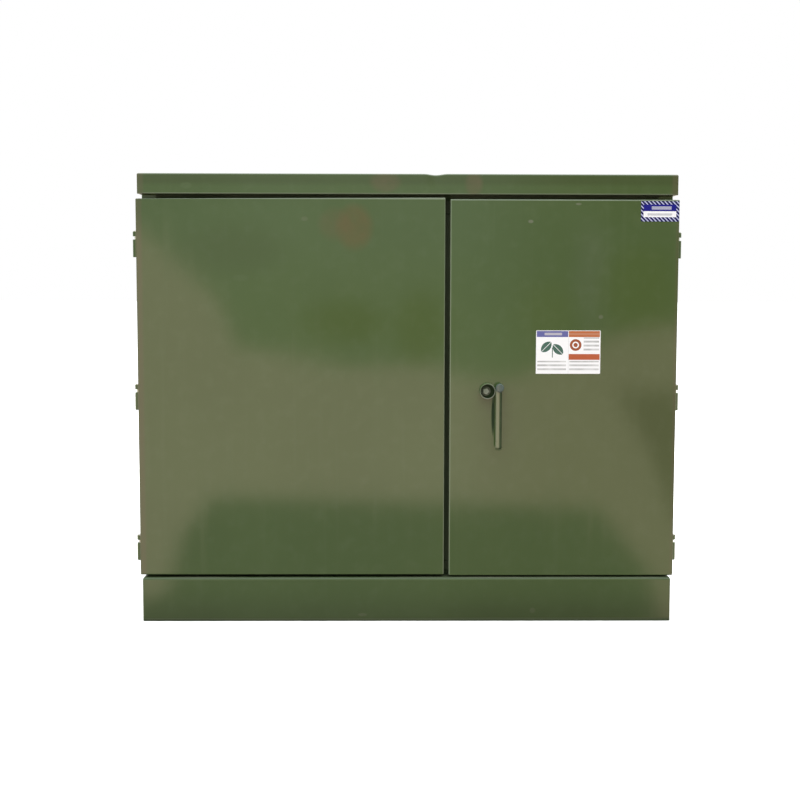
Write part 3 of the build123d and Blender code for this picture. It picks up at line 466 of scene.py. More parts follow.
# rows crowd towards both ends, where the panel's outline and its channels turn in
share_up = share_up * (1.45 - 0.45 * share_up * share_up)
share_up = share_up.maths("MINIMUM", 1.0).maths("MAXIMUM", -1.0)
height = share_up * half_height
into_corner = (height.maths("ABSOLUTE") - half_height + corner).maths("MAXIMUM", 0.0)
pulled = corner - (corner * corner - into_corner * into_corner).maths("MAXIMUM", 0.0).maths("SQRT")
reach = half_depth - pulled
depth = share_across * reach
from_side = reach - depth.maths("ABSOLUTE")
from_end = half_height - height.maths("ABSOLUTE")
FLAT_RIM, PLAIN_END, CHANNEL_SPREAD, VALLEY = 0.008, (0.085, 0.115), 1.12, 0.42
swell = from_side.rise(FLAT_RIM, 0.020) * from_end.rise(FLAT_RIM, 0.022)
wave = depth / half_depth * CHANNEL_SPREAD * fin_in.out("Channels") * math.pi / 2
wave = wave.maths("COSINE")
channel = VALLEY + (1 - VALLEY) * wave * wave
plain_end = 1 - from_end.rise(*PLAIN_END)
fullness = channel.maths("MAXIMUM", plain_end) * swell
rim, thickness = fin_in.out("Rim thickness"), fin_in.out("Thickness")
half_thick = (rim + (thickness - rim) * fullness) * 0.5 * (1 - on_rim)
halves = fin_board.node("GeometryNodeJoinGeometry")
for side in (1, -1):
    spot = fin_board.node("ShaderNodeCombineXYZ", {}, {
        "X": half_thick * side, "Y": depth, "Z": height,
    })
    half = fin_board.node("GeometryNodeSetPosition", {}, {"Geometry": sheet, "Position": spot})
    if side < 0:
        half = fin_board.node("GeometryNodeFlipFaces", {}, {"Mesh": half})
    fin_board.join(halves, half)
shell = fin_board.node("GeometryNodeMergeByDistance", {}, {
    "Geometry": halves, "Distance": 0.00005,
})
end_tree(fin_board, copied(fin_board, fin_in, shell), fin_in.out("Paint"))
PANELS, PANEL_THICKNESS, PANEL_RIM, PANEL_CORNER = 14, 0.011, 0.0024, 0.026
fin_middle = (fin_low + fin_high) / 2
first_fin = fin_low.x + PANEL_THICKNESS / 2
fin_pitch = (fin_high.x - fin_low.x - PANEL_THICKNESS) / (PANELS - 1)
fin_places = [(first_fin + i * fin_pitch, fin_middle.y, fin_middle.z) for i in range(PANELS)]
radiator_paint = green_paint("radiator")
radiator = grown("radiator_pressed_panels", "cabinet_and_tank", fin_board,
                 fin_places, [], {
    "Half depth": (fin_high.y - fin_low.y) / 2, "Half height": (fin_high.z - fin_low.z) / 2,
    "Corner": PANEL_CORNER, "Thickness": PANEL_THICKNESS, "Rim thickness": PANEL_RIM,
    "Channels": 5.0, "Paint": radiator_paint,
})
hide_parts("radiator_panels")


def middle(name):
    """The middle of a node's box, seen from the front."""
    low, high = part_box(name)
    return (low.x + high.x) / 2, (low.z + high.z) / 2


def ring_places(middles, circle, count, y, start=45.0):
    """Places on a circle round each middle, on the plane at y."""
    turns = [math.radians(start + 360.0 * i / count) for i in range(count)]
    return [
        (x + circle * math.cos(a), y, z + circle * math.sin(a)) for x, z in middles for a in turns
    ]


# Header pipes: they carry the oil from the tank through every panel and back. Each has
# two necks, whose flanges are bolted to the tank's rear with four bolts.

HEADERS = ("radiator_pipe_bottom", "radiator_pipe_top")
dress(radiator_paint, *HEADERS)
NECK_HALF_SPACING, NECK_FLANGE, NECK_BOLT_CIRCLE, NECK_RADIUS = 0.248, 0.010, 0.034, 0.019
neck_bolts, neck_welds = [], []
for name in HEADERS:
    face_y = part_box(name)[0].y + NECK_FLANGE
    for x in (-NECK_HALF_SPACING, NECK_HALF_SPACING):
        neck = [(x, middle(name)[1])]
        neck_bolts += ring_places(neck, NECK_BOLT_CIRCLE, 4, face_y)
        bead = ring_places(neck, NECK_RADIUS, 24, face_y, start=0.0)
        neck_welds.append(bead + bead[:1])
bolted("neck_flange_bolts", neck_bolts, 0.0058, 0.0052, REAR, tank_paint)
weld("neck_welds", neck_welds, 0.0028, radiator_paint)

# High-voltage side: dead-front bushings of moulded epoxy on the front plate, each held
# by a clamp ring and four nuts, with a slotted parking stand of plated steel below it.


def moulded(name, colour, rough, cloud_colour):
    """A moulded plastic or resin: faint flow clouds, a fine skin and finger-worn gloss."""
    material, board = new_finish(name)
    place = board.place()
    cloud = board.noise(place, 16.0, 5.0)
    tone = board.mixed(cloud.rise(0.35, 0.75) * 0.5, colour, cloud_colour)
    level = rough + 0.14 * cloud.rise(0.3, 0.8)
    skin = board.bump(0.4, 0.00005, board.noise(place, 900.0, 2.0))
    surface(board, {"IOR": 1.5}, tone, level, Normal=skin)
    return material


epoxy = moulded("black_epoxy", (0.022, 0.022, 0.025, 1), 0.30, (0.05, 0.048, 0.045, 1))
dress(epoxy, "hv_bushings")
dress(zinc_plate, "parking_stands")


def middles_of(name, count):
    """The axes of like round fittings in a row, from the node's own vertices."""
    low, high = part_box(name)
    step = (high.x - low.x) / count
    found = []
    for i in range(count):
        start, end = low.x + i * step - 1e-6, low.x + (i + 1) * step + 1e-6
        inside = [(v.co.x, v.co.z) for v in part[name].data.vertices if start <= v.co.x <= end]
        found.append([(min(side) + max(side)) / 2 for side in zip(*inside)])
    return found


hv_middles = middles_of("hv_bushings", 3)
HV_FLANGE, HV_NUT_CIRCLE = 0.009, 0.0460
bolted("hv_clamp_nuts", ring_places(hv_middles, HV_NUT_CIRCLE, 4, plate_low.y - HV_FLANGE),
       0.0056, 0.0055, FRONT, zinc_plate)

# Fuse holders, load-break switch and tap changer: moulded operators that pass through
# the plate, each on a flange with four small screws.

dress(epoxy, "fuse_holders", "load_break_switch", "tap_changer")
CONTROL_FLANGE, FLANGE_CIRCLE = 0.008, 0.0305
FUSE_RIM, FUSE_CIRCLE, FUSE_Z = 0.043, 0.043 - 0.0065, 0.985
fuse_low, fuse_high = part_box("fuse_holders")
fuse_span = fuse_high.x - fuse_low.x - 2 * FUSE_RIM
fuse_middles = [(fuse_low.x + FUSE_RIM + fuse_span * i / 2, FUSE_Z) for i in range(3)]
control_middles = [middle("load_break_switch"), middle("tap_changer")]
control_y = plate_low.y - CONTROL_FLANGE
screw_places = ring_places(fuse_middles, FUSE_CIRCLE, 4, control_y, start=0.0)
screw_places += ring_places(control_middles, FLANGE_CIRCLE, 4, control_y)
bolted("operator_flange_screws", screw_places, 0.0040, 0.0036, FRONT, zinc_plate)

# Low-voltage side: reddish moulded bushings with two sheds, and tinned copper spades
# drilled for four cable lugs each.

resin = moulded("reddish_resin", (0.23, 0.070, 0.038, 1), 0.24, (0.31, 0.11, 0.06, 1))
dress(resin, "lv_bushings")
tinned = metal("tinned_spade_copper", (0.60, 0.58, 0.53, 1), 0.26, dull=(0.42, 0.36, 0.29, 1))
dress(tinned, "lv_spades")
lv_middles = middles_of("lv_bushings", 4)
LV_FLANGE, LV_NUT_CIRCLE = 0.012, 0.0390
bolted("lv_clamp_nuts", ring_places(lv_middles, LV_NUT_CIRCLE, 4, plate_low.y - LV_FLANGE),
       0.0040, 0.0045, FRONT, zinc_plate, washer=1.15)

# Gauges: a liquid-level gauge and a thermometer in dark cast cases. The printed card
# behind each glass has plain graduations, a coloured arc and a black pointer.

case = moulded("dark_gauge_case", (0.030, 0.031, 0.032, 1), 0.34, (0.06, 0.06, 0.058, 1))
dress(case, "gauges")
gauge_low, gauge_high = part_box("gauges")
gauge_x = middle("gauges")[0]
CASE_RADIUS, CARD_RADIUS, CARD_BACK = 0.040, 0.0347, 0.0042
gauge_middles = [(gauge_x, gauge_low.z + CASE_RADIUS), (gauge_x, gauge_high.z - CASE_RADIUS)]


def gauge_card():
    """Aged white card with plain ticks round each gauge and a red arc at the high end."""
    material, board = new_finish("gauge_card")
    place = board.place()
    x, _, z = board.split(place)
    x = x - gauge_x
    lower, upper = gauge_middles[0][1], gauge_middles[1][1]
    z = z - lower - (z.maths("GREATER_THAN", (lower + upper) / 2)) * (upper - lower)
    radius = (x * x + z * z).maths("SQRT")
    turn = x.maths("ARCTAN2", z) / math.pi
    ink = radius.between(0.0293, 0.0299)
    for count, half, inner in ((12, 0.06, 0.0225), (60, 0.12, 0.0262)):
        place_in_step = (turn * count).maths("FRACT").maths("ABSOLUTE")
        tick = place_in_step.between(-half, half)
        tick = tick.maths("MAXIMUM", place_in_step.between(1 - half, 1 + half))
        ink = ink.maths("MAXIMUM", tick * radius.between(inner, 0.0295))
    ink = ink * turn.between(-0.76, 0.76)
    arc = radius.between(0.0300, 0.0322) * turn.between(0.42, 0.76)
    age = board.noise(place, 90.0, 3.0)
    white, yellowed = (0.78, 0.77, 0.72, 1), (0.66, 0.64, 0.55, 1)
    red, black = (0.55, 0.05, 0.03, 1), (0.02, 0.02, 0.02, 1)
    colour = board.layered(white, (age * 0.5, yellowed), (arc, red), (ink, black))
    surface(board, {"Coat Weight": 0.8}, colour, 0.25 + 0.1 * age)
    return material


FLAT_AREA, NEARLY_NOTHING = 0.003, 0.0000001


def steady_normals(mesh, smooth_angle):
    """Corner normals weighted by area, so that wide flats stay flat beside their folds."""
    around = [[] for _ in mesh.vertices]
    for face in mesh.polygons:
        for vertex in face.vertices:
            around[vertex].append((face.normal.copy(), face.area))
    limit = math.cos(math.radians(smooth_angle))
    corners = []
    for face in mesh.polygons:
        own = face.normal.copy()
        for vertex in face.vertices:
            total = own * NEARLY_NOTHING
            for normal, area in around[vertex]:
                if normal.dot(own) > limit:
                    total += normal * area
            corners.append(own if face.area > FLAT_AREA else total.normalized())
    mesh.normals_split_custom_set(corners)


def plain_piece(name, mesh_parts, body, material, smooth_angle=None):
    """A mesh put together in bmesh, at its place, on its body."""
    mesh = bpy.data.meshes.new(name)
    mesh_parts.normal_update()
    mesh_parts.to_mesh(mesh)
    mesh_parts.free()
    mesh.materials.append(material)
    if smooth_angle is not None:
        for face in mesh.polygons:
            face.use_smooth = True
        mesh.set_sharp_from_angle(angle=math.radians(smooth_angle))
        steady_normals(mesh, smooth_angle)
    piece = into_scene(name, mesh)
    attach(piece, body)
    return piece


def turned(parts, matrix, radius_low, radius_high, length, sides):
    """A short turned piece between two radii, along the matrix's own axis."""
    bmesh.ops.create_cone(
        parts, cap_ends=True, segments=sides, radius1=radius_low, radius2=radius_high,
        depth=length, matrix=matrix @ Matrix.Translation((0, 0, length / 2)),
    )


TO_FRONT = Matrix.Rotation(math.pi / 2, 4, "X")
card_y = gauge_low.y + CARD_BACK
CARD_THICKNESS, BLADE_THICKNESS, BLADE_GAP = 0.0006, 0.0006, 0.0014
POINTER_LEANS = (-62.0, -28.0)
blade = [(-0.0016, -0.009), (0.0016, -0.009), (0.0003, 0.026), (-0.0003, 0.026)]
cards, pointers = bmesh.new(), bmesh.new()
for (x, z), lean in zip(gauge_middles, POINTER_LEANS):
    card_at = Matrix.Translation((x, card_y, z)) @ TO_FRONT
    turned(cards, card_at, CARD_RADIUS, CARD_RADIUS, CARD_THICKNESS, 48)
    hub_at = Matrix.Translation((x, card_y - CARD_THICKNESS, z)) @ TO_FRONT
    turned(pointers, hub_at, 0.0042, 0.0036, 0.0018, 24)
    swing = Matrix.Rotation(math.radians(lean), 4, "Y")
    swing = Matrix.Translation((x, card_y - BLADE_GAP, z)) @ swing
    for depth in (0, -BLADE_THICKNESS):
        corners = [pointers.verts.new(swing @ Vector((a, depth, b))) for a, b in blade]
        pointers.faces.new(corners if depth else corners[::-1])
        if depth:
            for i in range(4):
                pointers.faces.new((back[i], back[(i + 1) % 4], corners[(i + 1) % 4], corners[i]))
        back = corners
for parts in (cards, pointers):
    bmesh.ops.recalc_face_normals(parts, faces=parts.faces)
plain_piece("gauge_cards", cards, "cabinet_and_tank", gauge_card())
pointer_black = moulded("pointer_black", (0.02, 0.02, 0.02, 1), 0.35, (0.04, 0.04, 0.04, 1))
plain_piece("gauge_pointers", pointers, "cabinet_and_tank", pointer_black)

# Relief valve, drain valve and ground pads: cast bronze valves screwed into the plate,
# the relief valve with its pull ring, and plated steel pads with two tapped holes.

bronze = metal("cast_bronze", (0.50, 0.34, 0.15, 1), 0.34, relief=0.00012,
               dull=(0.20, 0.13, 0.07, 1))
dress(bronze, "relief_valve", "drain_valve")
dress(zinc_plate, "ground_pads")
relief_x, relief_z = middle("relief_valve")
relief_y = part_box("relief_valve")[0].y
RING_RADIUS, RING_WIRE, RING_BACK, RING_RISE = 0.0125, 0.0011, 0.0045, 0.0035
pull = bmesh.new()
ring_middle = Vector((relief_x, relief_y + RING_BACK, relief_z - RING_RADIUS + RING_RISE))
STEPS_ROUND, STEPS_WIRE = 36, 8
rows = []
for i in range(STEPS_ROUND):
    a = 2 * math.pi * i / STEPS_ROUND
    outward = Vector((math.cos(a), 0, math.sin(a)))
    row = []
    for j in range(STEPS_WIRE):
        b = 2 * math.pi * j / STEPS_WIRE
        offset = outward * (RING_WIRE * math.cos(b)) + Vector((0, RING_WIRE * math.sin(b), 0))
        row.append(pull.verts.new(ring_middle + outward * RING_RADIUS + offset))
    rows.append(row)
for i in range(STEPS_ROUND):
    for j in range(STEPS_WIRE):
        k, m = (i + 1) % STEPS_ROUND, (j + 1) % STEPS_WIRE
        pull.faces.new((rows[i][j], rows[k][j], rows[k][m], rows[i][m]))
bmesh.ops.recalc_face_normals(pull, faces=pull.faces)
stainless = metal("stainless_steel", (0.58, 0.57, 0.54, 1), 0.24, grain=(6.0, 6.0, 0.4),
                  dull=(0.36, 0.35, 0.32, 1))
plain_piece("relief_pull_ring", pull, "cabinet_and_tank", stainless, 60)

# Cabinet: side walls folded from sheet, the door frame's header, lower rail and post,
# and the steel barrier between the two compartments, all sprayed together.

hood_low, hood_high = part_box("hood")
left_low, left_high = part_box("left_door")
right_low, right_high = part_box("right_door")
gap_x = (left_high.x + right_low.x) / 2
cabinet_paint = green_paint("cabinet", splash_and_shade=0.4)
# The header, lower rail and post are painted dark along the doors' gaps: painted shade.
frame_paint = green_paint("door_frame", splash_and_shade=0.4, folds=[
    (PAINTED_SHADE, 0.8, "z", left_high.z + 0.005, 0.013), (PAINTED_SHADE, 0.8, "z", left_low.z - 0.002, 0.010),
    (PAINTED_SHADE, 0.7, "x", gap_x, 0.010),
])
dress(cabinet_paint, "side_wall_left", "side_wall_right", "compartment_barrier")
dress(frame_paint, "door_header", "lower_rail", "centre_post")

# Hood: one sheet folded down at the front and sides. Its front fold has taken a knock
# beside the doors' gap, and primer ghosts brown through the green in two places.

# Fold highlight: paler paint along folded edges, a painted highlight where the bends catch light
# from above.
FOLD_HIGHLIGHT, RIM_DIRT = (0.200, 0.250, 0.185, 1), (0.092, 0.080, 0.048, 1)
HOOD_RUST, SHADED_FOLD = (0.118, 0.078, 0.050, 1), (0.042, 0.060, 0.022, 1)
# Painted highlight along the front fold's lower edge and painted shade along its top.
hood_paint = green_paint("hood", marks=[
    (HOOD_RUST, 0.40, (-0.064, 1.247), (0.052, 0.036)),
    (HOOD_RUST, 0.45, (0.184, 1.242), (0.030, 0.042)),
    (PALE_GREEN, 0.55, (-0.62, 1.236), (0.020, 0.012)),
], folds=[
    (FOLD_HIGHLIGHT, 0.55, "z", hood_low.z + 0.001, 0.0034),
    (SHADED_FOLD, 0.62, "z", hood_high.z - 0.0060, 0.038),
    (RIM_DIRT, 0.55, "x", hood_low.x, 0.022), (RIM_DIRT, 0.55, "x", hood_high.x, 0.022),
], skin=hood_low.y)


def merged_copy(name):
    """A CAD node's shape with its loose triangles joined, ready to be worked on."""
    shape = bmesh.new()
    shape.from_mesh(part[name].data)
    bmesh.ops.remove_doubles(shape, verts=shape.verts, dist=0.00002)
    return shape


def cut_across(shape, axis, places):
    """Adds an edge loop through the whole shape at each place along an axis."""
    normal = [0, 0, 0]
    normal[axis] = 1
    for place in places:
        centre = [0, 0, 0]
        centre[axis] = place
        everything = shape.verts[:] + shape.edges[:] + shape.faces[:]
        bmesh.ops.bisect_plane(
            shape, geom=everything, dist=0.000005, plane_co=centre, plane_no=normal
        )


DENT_X, DENT_HALF, DENT_DEPTH, DENT_BACK = 0.077, 0.034, 0.0036, 0.110
DENT_FOOT, DENT_HEIGHT, DENT_PUSH = 1.235, 0.030, 0.0012
hood_shape = merged_copy("hood")
cut_across(hood_shape, 0, [DENT_X + DENT_HALF * i / 8 for i in range(-8, 9)])
cut_across(hood_shape, 1, [hood_low.y + DENT_BACK * i / 6 for i in range(1, 7)])
for vertex in hood_shape.verts:
    aside = abs(vertex.co.x - DENT_X) / DENT_HALF
    behind = (vertex.co.y - hood_low.y) / DENT_BACK
    if aside < 1 and behind < 1 and vertex.co.z > DENT_FOOT:
        fall = math.cos(aside * math.pi / 2) ** 2 * (1 - behind) ** 2
        upper = min(1.0, (vertex.co.z - DENT_FOOT) / DENT_HEIGHT)
        vertex.co.z -= DENT_DEPTH * fall * upper
        vertex.co.y += DENT_PUSH * fall * upper
hood = plain_piece("hood_with_dent", hood_shape, "cabinet_and_tank", hood_paint, 28)
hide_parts("hood")

# Front sill: the loose lower panel, folded over at its top and round both corners. It
# stands in splashed soil, so its foot is the dullest part of the front; the darkening there is also
# painted shade of the ground, and a painted shade line runs along its top fold, under the doors.

sill_low, sill_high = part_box("front_sill")
sill_folds = [(PAINTED_SHADE, 0.50, "z", sill_high.z, 0.0060), (PAINTED_SHADE, 0.85, "z", 0.0, 0.0105)]
sill_paint = green_paint("sill", splash_and_shade=0.60, tone=0.97, folds=sill_folds, marks=[
    (DUST, 0.35, (-0.128, 0.018), (0.016, 0.006)),
    (DUST, 0.30, (0.36, 0.030), (0.010, 0.010)),
], skin=sill_low.y)
dress(sill_paint, "front_sill")

# Doors: folded pans with a return lip, three hinges to a side. The left-hand pan has
# been pushed slightly out of square, so its top closes up on the hood at the free edge.

DOOR_RUST, RUST_HALO = (0.120, 0.068, 0.026, 1), (0.105, 0.076, 0.036, 1)
# The left pan's top fold and free edge carry painted highlights.
left_paint = green_paint("left_door", marks=[
    (DOOR_RUST, 0.50, (-0.150, 1.122), (0.062, 0.076)),
    (RUST_HALO, 0.34, (-0.205, 1.130), (0.056, 0.056)),
    (PALE_GREEN, 0.45, (-0.47, 0.98), (0.030, 0.012)),
    (DUST, 0.18, (-0.29, 1.145), (0.012, 0.008)),
], folds=[
    (FOLD_HIGHLIGHT, 0.95, "z", left_high.z, 0.0045), (FOLD_HIGHLIGHT, 0.45, "x", left_high.x, 0.0035),
    (RIM_DIRT, 0.55, "x", left_low.x, 0.022),
], skin=left_low.y)
TOP_FALL, TOP_RISE, TRUE_BELOW = -0.0030, 0.0019, 1.10
left_shape = merged_copy("left_door")
for vertex in left_shape.verts:
    share = (vertex.co.x - left_low.x) / (left_high.x - left_low.x)
    upper = max(0.0, (vertex.co.z - TRUE_BELOW) / (left_high.z - TRUE_BELOW))
    vertex.co.z += (TOP_FALL + (TOP_RISE - TOP_FALL) * share) * upper
left_door = plain_piece("left_door_pan", left_shape, "left_leaf", left_paint, 28)
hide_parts("left_door")
CHIP, DULL_CHIP = (0.16, 0.17, 0.13, 1), (0.15, 0.16, 0.12, 1)
right_paint = green_paint("right_door", marks=[
    (CHIP, 0.75, (0.344, 1.139), (0.009, 0.006)),
    (CHIP, 0.65, (0.478, 1.188), (0.010, 0.004)),
    (DULL_CHIP, 0.60, (0.545, 0.872), (0.008, 0.007)),
    # Painted shade: a dark strip left of the handle bar, for the bar's shadow and its mirror image
    # in the gloss, and a dark patch under its foot, a painted shadow.
    (PAINTED_SHADE, 1.15, (0.2425, 0.592), (0.0056, 0.064)),
    (PAINTED_SHADE, 0.5, (0.2580, 0.4955), (0.012, 0.0042)),
], folds=[
    # Painted highlights along the top fold and the edge at the gap.
    (FOLD_HIGHLIGHT, 0.95, "z", right_high.z, 0.0045), (FOLD_HIGHLIGHT, 0.55, "x", right_low.x, 0.0045),
    (RIM_DIRT, 0.30, "x", right_high.x, 0.012),
], skin=right_low.y)
dress(right_paint, "right_door")

# Door stiffeners: upright hat channels inside each face, held by rows of spot welds
# through both feet.

dress(cabinet_paint, "left_door_stiffeners", "right_door_stiffener")
dot_board, dot_in = repeat_tree("spot_weld", ["Radius", "Height"], [
    ("Facing", "Vector"), ("Paint", "Material"),
])
dot = dot_board.node("GeometryNodeMeshCone", {}, {
    "Vertices": 14, "Radius Top": dot_in.out("Radius") * 0.7, "Radius Bottom": dot_in.out("Radius"),
    "Depth": dot_in.out("Height"),
})
dots = copied(dot_board, dot_in, dot, Rotation=dot_in.out("Facing"))
end_tree(dot_board, dots, dot_in.out("Paint"), smooth=False)
HAT_MIDDLE, FOOT_MIDDLE, FOOT_THICKNESS = 0.039, 0.031, 0.002
SPOT_PITCH, FIRST_SPOT = 0.090, 0.03
for name, body, hats in (
    ("left_door_stiffeners", "left_leaf", 2), ("right_door_stiffener", "right_leaf", 1),
):
    low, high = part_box(name)
    foot_y = low.y + FOOT_THICKNESS
    count = int((high.z - low.z - 0.04) / SPOT_PITCH)
    spots = [
        (hat_x + side, foot_y, low.z + FIRST_SPOT + SPOT_PITCH * i)
        for hat_x in (low.x + HAT_MIDDLE, high.x - HAT_MIDDLE)[:hats]
        for side in (-FOOT_MIDDLE, FOOT_MIDDLE) for i in range(count + 1)
    ]
    grown(name + "_spot_welds", body, dot_board, spots, [], {
        "Radius": 0.0032, "Height": 0.0004, "Facing": REAR, "Paint": cabinet_paint,
    })

# Hinges: short upper knuckles on the doors drop over stainless pins that stand in the
# long lower barrels. The barrels' pads are welded to the side walls.

dress(cabinet_paint, "left_frame_barrels", "right_frame_barrels", "left_door_knuckles",
      "right_door_knuckles")
dress(stainless, "left_hinge_pins", "right_hinge_pins")
KNUCKLE_TOPS, BARREL_DROP, BARREL_HEIGHT = (1.109, 0.674, 0.238), 0.022, 0.050
PAD_HALF, WELD_END = 0.007, 0.003
wall_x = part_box("side_wall_right")[1].x
barrel_low, barrel_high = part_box("right_frame_barrels")
barrel_y = (barrel_low.y + barrel_high.y) / 2
hinge_lines = []
for side in (-1, 1):
    for top in KNUCKLE_TOPS:
        for face in (barrel_y - PAD_HALF, barrel_y + PAD_HALF):
            hinge_lines.append([
                (side * (wall_x + 0.0004), face, top - BARREL_DROP - BARREL_HEIGHT + WELD_END),
                (side * (wall_x + 0.0004), face, top - BARREL_DROP - WELD_END),
            ])
weld("hinge_pad_welds", hinge_lines, 0.0016, cabinet_paint)

# Handle and lock: a hanging bar on a round hub turns the latch. Beside it a cup guards
# the five-sided security bolt, which sits off centre on its washer.

hub_x, hub_z = middle("handle_bearing")
cup_x, cup_z = middle("lock_cup")
cup_y, lock_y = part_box("lock_cup")[0].y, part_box("lock_bolt")[0].y
PAINTED_LIT_SIDE, HUB_GREY = (0.150, 0.172, 0.105, 1), (0.072, 0.105, 0.098, 1)
BARE_LIT_STEEL = (0.215, 0.235, 0.190, 1)
# The bar is painted lighter on its left half and darker on its right: painted light and shade of a
# round bar.
handle_paint = green_paint("handle", tone=0.95, marks=[
    (PAINTED_LIT_SIDE, 1.4, (hub_x - 0.0070, hub_z - 0.09), (0.0075, 0.40)),
    (PAINTED_SHADE, 0.95, (hub_x + 0.0058, hub_z - 0.10), (0.0082, 0.40)),
    (HUB_GREY, 2.0, (hub_x, hub_z + 0.004), (0.020, 0.020)),
])


def shaded_lock_steel(name, faces, hollow=None):
    """Sprayed steel round the lock: green outside its hollow where one is given, painted black
    elsewhere as painted shade, and pale on the faces at given depths, for worn bare steel and a
    painted highlight strongest low on the right, where the light falls."""
    material, board = new_finish(name)
    place = board.place()
    x, y, z = board.split(place)
    x, z = x - cup_x, z - cup_z
    cloud = board.noise(place, 420.0, 3.0)
    colour = PAINTED_SHADE
    if hollow:
        # The hollow is painted black: painted shade inside it.
        inside = (x * x + z * z).maths("SQRT").maths("LESS_THAN", hollow)
        colour = board.mixed(inside, GREEN, PAINTED_SHADE)
    for level, share in faces:
        face = 1 - (y - level).maths("ABSOLUTE").rise(0.0006, 0.0012)
        # Painted highlight, brightest low on the right.
        toward = (x - z) * 20.0 + 0.60 + 0.6 * cloud
        colour = board.mixed(face * share * toward, colour, BARE_LIT_STEEL)
    surface(board, {"Specular IOR Level": 0.22}, colour, 0.42 + 0.2 * cloud)
    return material


dress(handle_paint, "handle")
dress(cabinet_paint, "handle_bearing")
dress(zinc_plate, "latch_cam")
CUP_BORE, WASHER_FACE = 0.0200, 0.0080
dress(shaded_lock_steel("sprayed_lock_cup", [(cup_y, 0.75)], hollow=CUP_BORE), "lock_cup")
dress(shaded_lock_steel("lock_bolt_wear_and_light", [(lock_y, 1.0), (lock_y + WASHER_FACE, 0.45)]), "lock_bolt")

# Labels: two vinyl stickers on the handle door, glued flat to its face. The larger is
# in two panels with coloured heads and plain rules, the smaller has a striped border.

door_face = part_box("right_door")[0].y
VINYL = 0.00035


def sticker(name, low, high, material, corner=0.002):
    """A thin vinyl sheet with round corners, flat on the door's face."""
    outline = []
    for centre_x, centre_z, start in (
        (high[0] - corner, high[1] - corner, 0), (low[0] + corner, high[1] - corner, 90),
        (low[0] + corner, low[1] + corner, 180), (high[0] - corner, low[1] + corner, 270),
    ):
        for step in range(5):
            a = math.radians(start + 22.5 * step)
            outline.append((centre_x + corner * math.cos(a), centre_z + corner * math.sin(a)))
    shape = bmesh.new()
    front = [shape.verts.new((x, door_face - VINYL, z)) for x, z in outline]
    rear = [shape.verts.new((x, door_face - 0.00002, z)) for x, z in outline]
    shape.faces.new(front)
    shape.faces.new(rear[::-1])
    for i in range(len(outline)):
        k = (i + 1) % len(outline)
        shape.faces.new((front[i], rear[i], rear[k], front[k]))
    bmesh.ops.recalc_face_normals(shape, faces=shape.faces)
    return plain_piece(name, shape, "right_leaf", material)


def vinyl(board, colour, place):
    """Glossy print with a faint crazing and handling haze."""
    haze = board.noise(place, 60.0, 4.0)
    colour = board.mixed(haze.rise(0.5, 0.8) * 0.025, colour, (0.60, 0.60, 0.56, 1))
    crazed = board.bump(0.3, 0.00006, haze)
    surface(board, {"Specular IOR Level": 0.28}, colour, 0.24 + 0.15 * haze, Normal=crazed)


def blank_print(name, low, high):
    """A print to be filled: its places are measured from the sticker's lower left corner."""
    material, board = new_finish(name)
    place = board.place()
    x, _, z = board.split(place)
    return material, board, place, x - low[0], z - low[1], high[0] - low[0], high[1] - low[1]


def two_panel_print(low, high):
    """Blue and orange heads over white, with a leaf pair, a ring, a band and grey rules."""
    material, board, place, x, z, wide, tall = blank_print("two_panel_print", low, high)
    split = wide * 0.502
    white, grey = (0.88, 0.90, 0.97, 1), (0.30, 0.31, 0.33, 1)
    blue, orange = (0.12, 0.13, 0.36, 1), (0.45, 0.125, 0.035, 1)
    pale, red = (0.72, 0.70, 0.68, 1), (0.45, 0.105, 0.045, 1)
    green, brown = (0.060, 0.135, 0.110, 1), (0.32, 0.085, 0.035, 1)
    head = z.between(tall - 0.0185, tall - 0.0015)
    left, right = x.between(0.0020, split - 0.001), x.between(split + 0.001, wide - 0.0020)
    dash = z.between(tall - 0.0135, tall - 0.0065)
    dash = dash * x.between(split * 0.26, split * 0.80).maths("MAXIMUM", right * 0.25)
    band = z.between(0.0395, 0.0560) * right
    colour = board.layered(
        white, (head * left, blue), (head * right, orange), (dash * 0.55, pale), (band, red),
    )
    # a leaf pair: two overlapping rounds cut a pointed leaf, one each side of a stem
    half_turn, offset, round_area = 0.7071, 0.0105, 0.0225 ** 2
    for lean, centre_x, centre_z in ((1.0, 0.029, 0.076), (-1.0, 0.062, 0.069)):
        across, up = x - centre_x, z - centre_z
        along = (across + up * lean) * half_turn
        aside = (up - across * lean) * half_turn
        leaf = 1 - aside.between(-0.0007, 0.0007)
        for shift in (aside - offset, aside + offset):
            leaf = leaf * (along * along + shift * shift).maths("LESS_THAN", round_area)
        colour = board.mixed(leaf, colour, green)
    stem = (x - 0.0465).between(-0.0012, 0.0012) * z.between(0.046, 0.074)
    disc_x, disc_z = x - (split + 0.0205), z - 0.0815
    disc = (disc_x * disc_x + disc_z * disc_z).maths("SQRT")
    ring = disc.between(0.0095, 0.0165).maths("MAXIMUM", disc.between(-1.0, 0.0060))
    # plain grey rules in two blocks and beside the ring
    row = (z / 0.0112 + 0.35).maths("FRACT").between(0.25, 0.72)
    wobble = board.noise(place, 28.0, 2.0).rise(0.30, 0.65)
    left_rules = row * left * x.between(0.004, split - 0.006) * z.between(0.006, 0.0365)
    right_rules = row * right * z.between(0.005, 0.0365) * x.between(split + 0.003, wide - 0.004)
    head_rules = row * z.between(0.0600, 0.1030) * x.between(split + 0.043, wide - 0.004)
    rules = left_rules.maths("MAXIMUM", right_rules).maths("MAXIMUM", head_rules)
    fold = x.between(split - 0.0006, split + 0.0006)
    colour = board.layered(
        colour, (stem, green), (ring, brown), (rules * (0.40 + 0.34 * wobble), grey),
        (fold * 0.3, grey),
    )
    vinyl(board, colour, place)
    return material


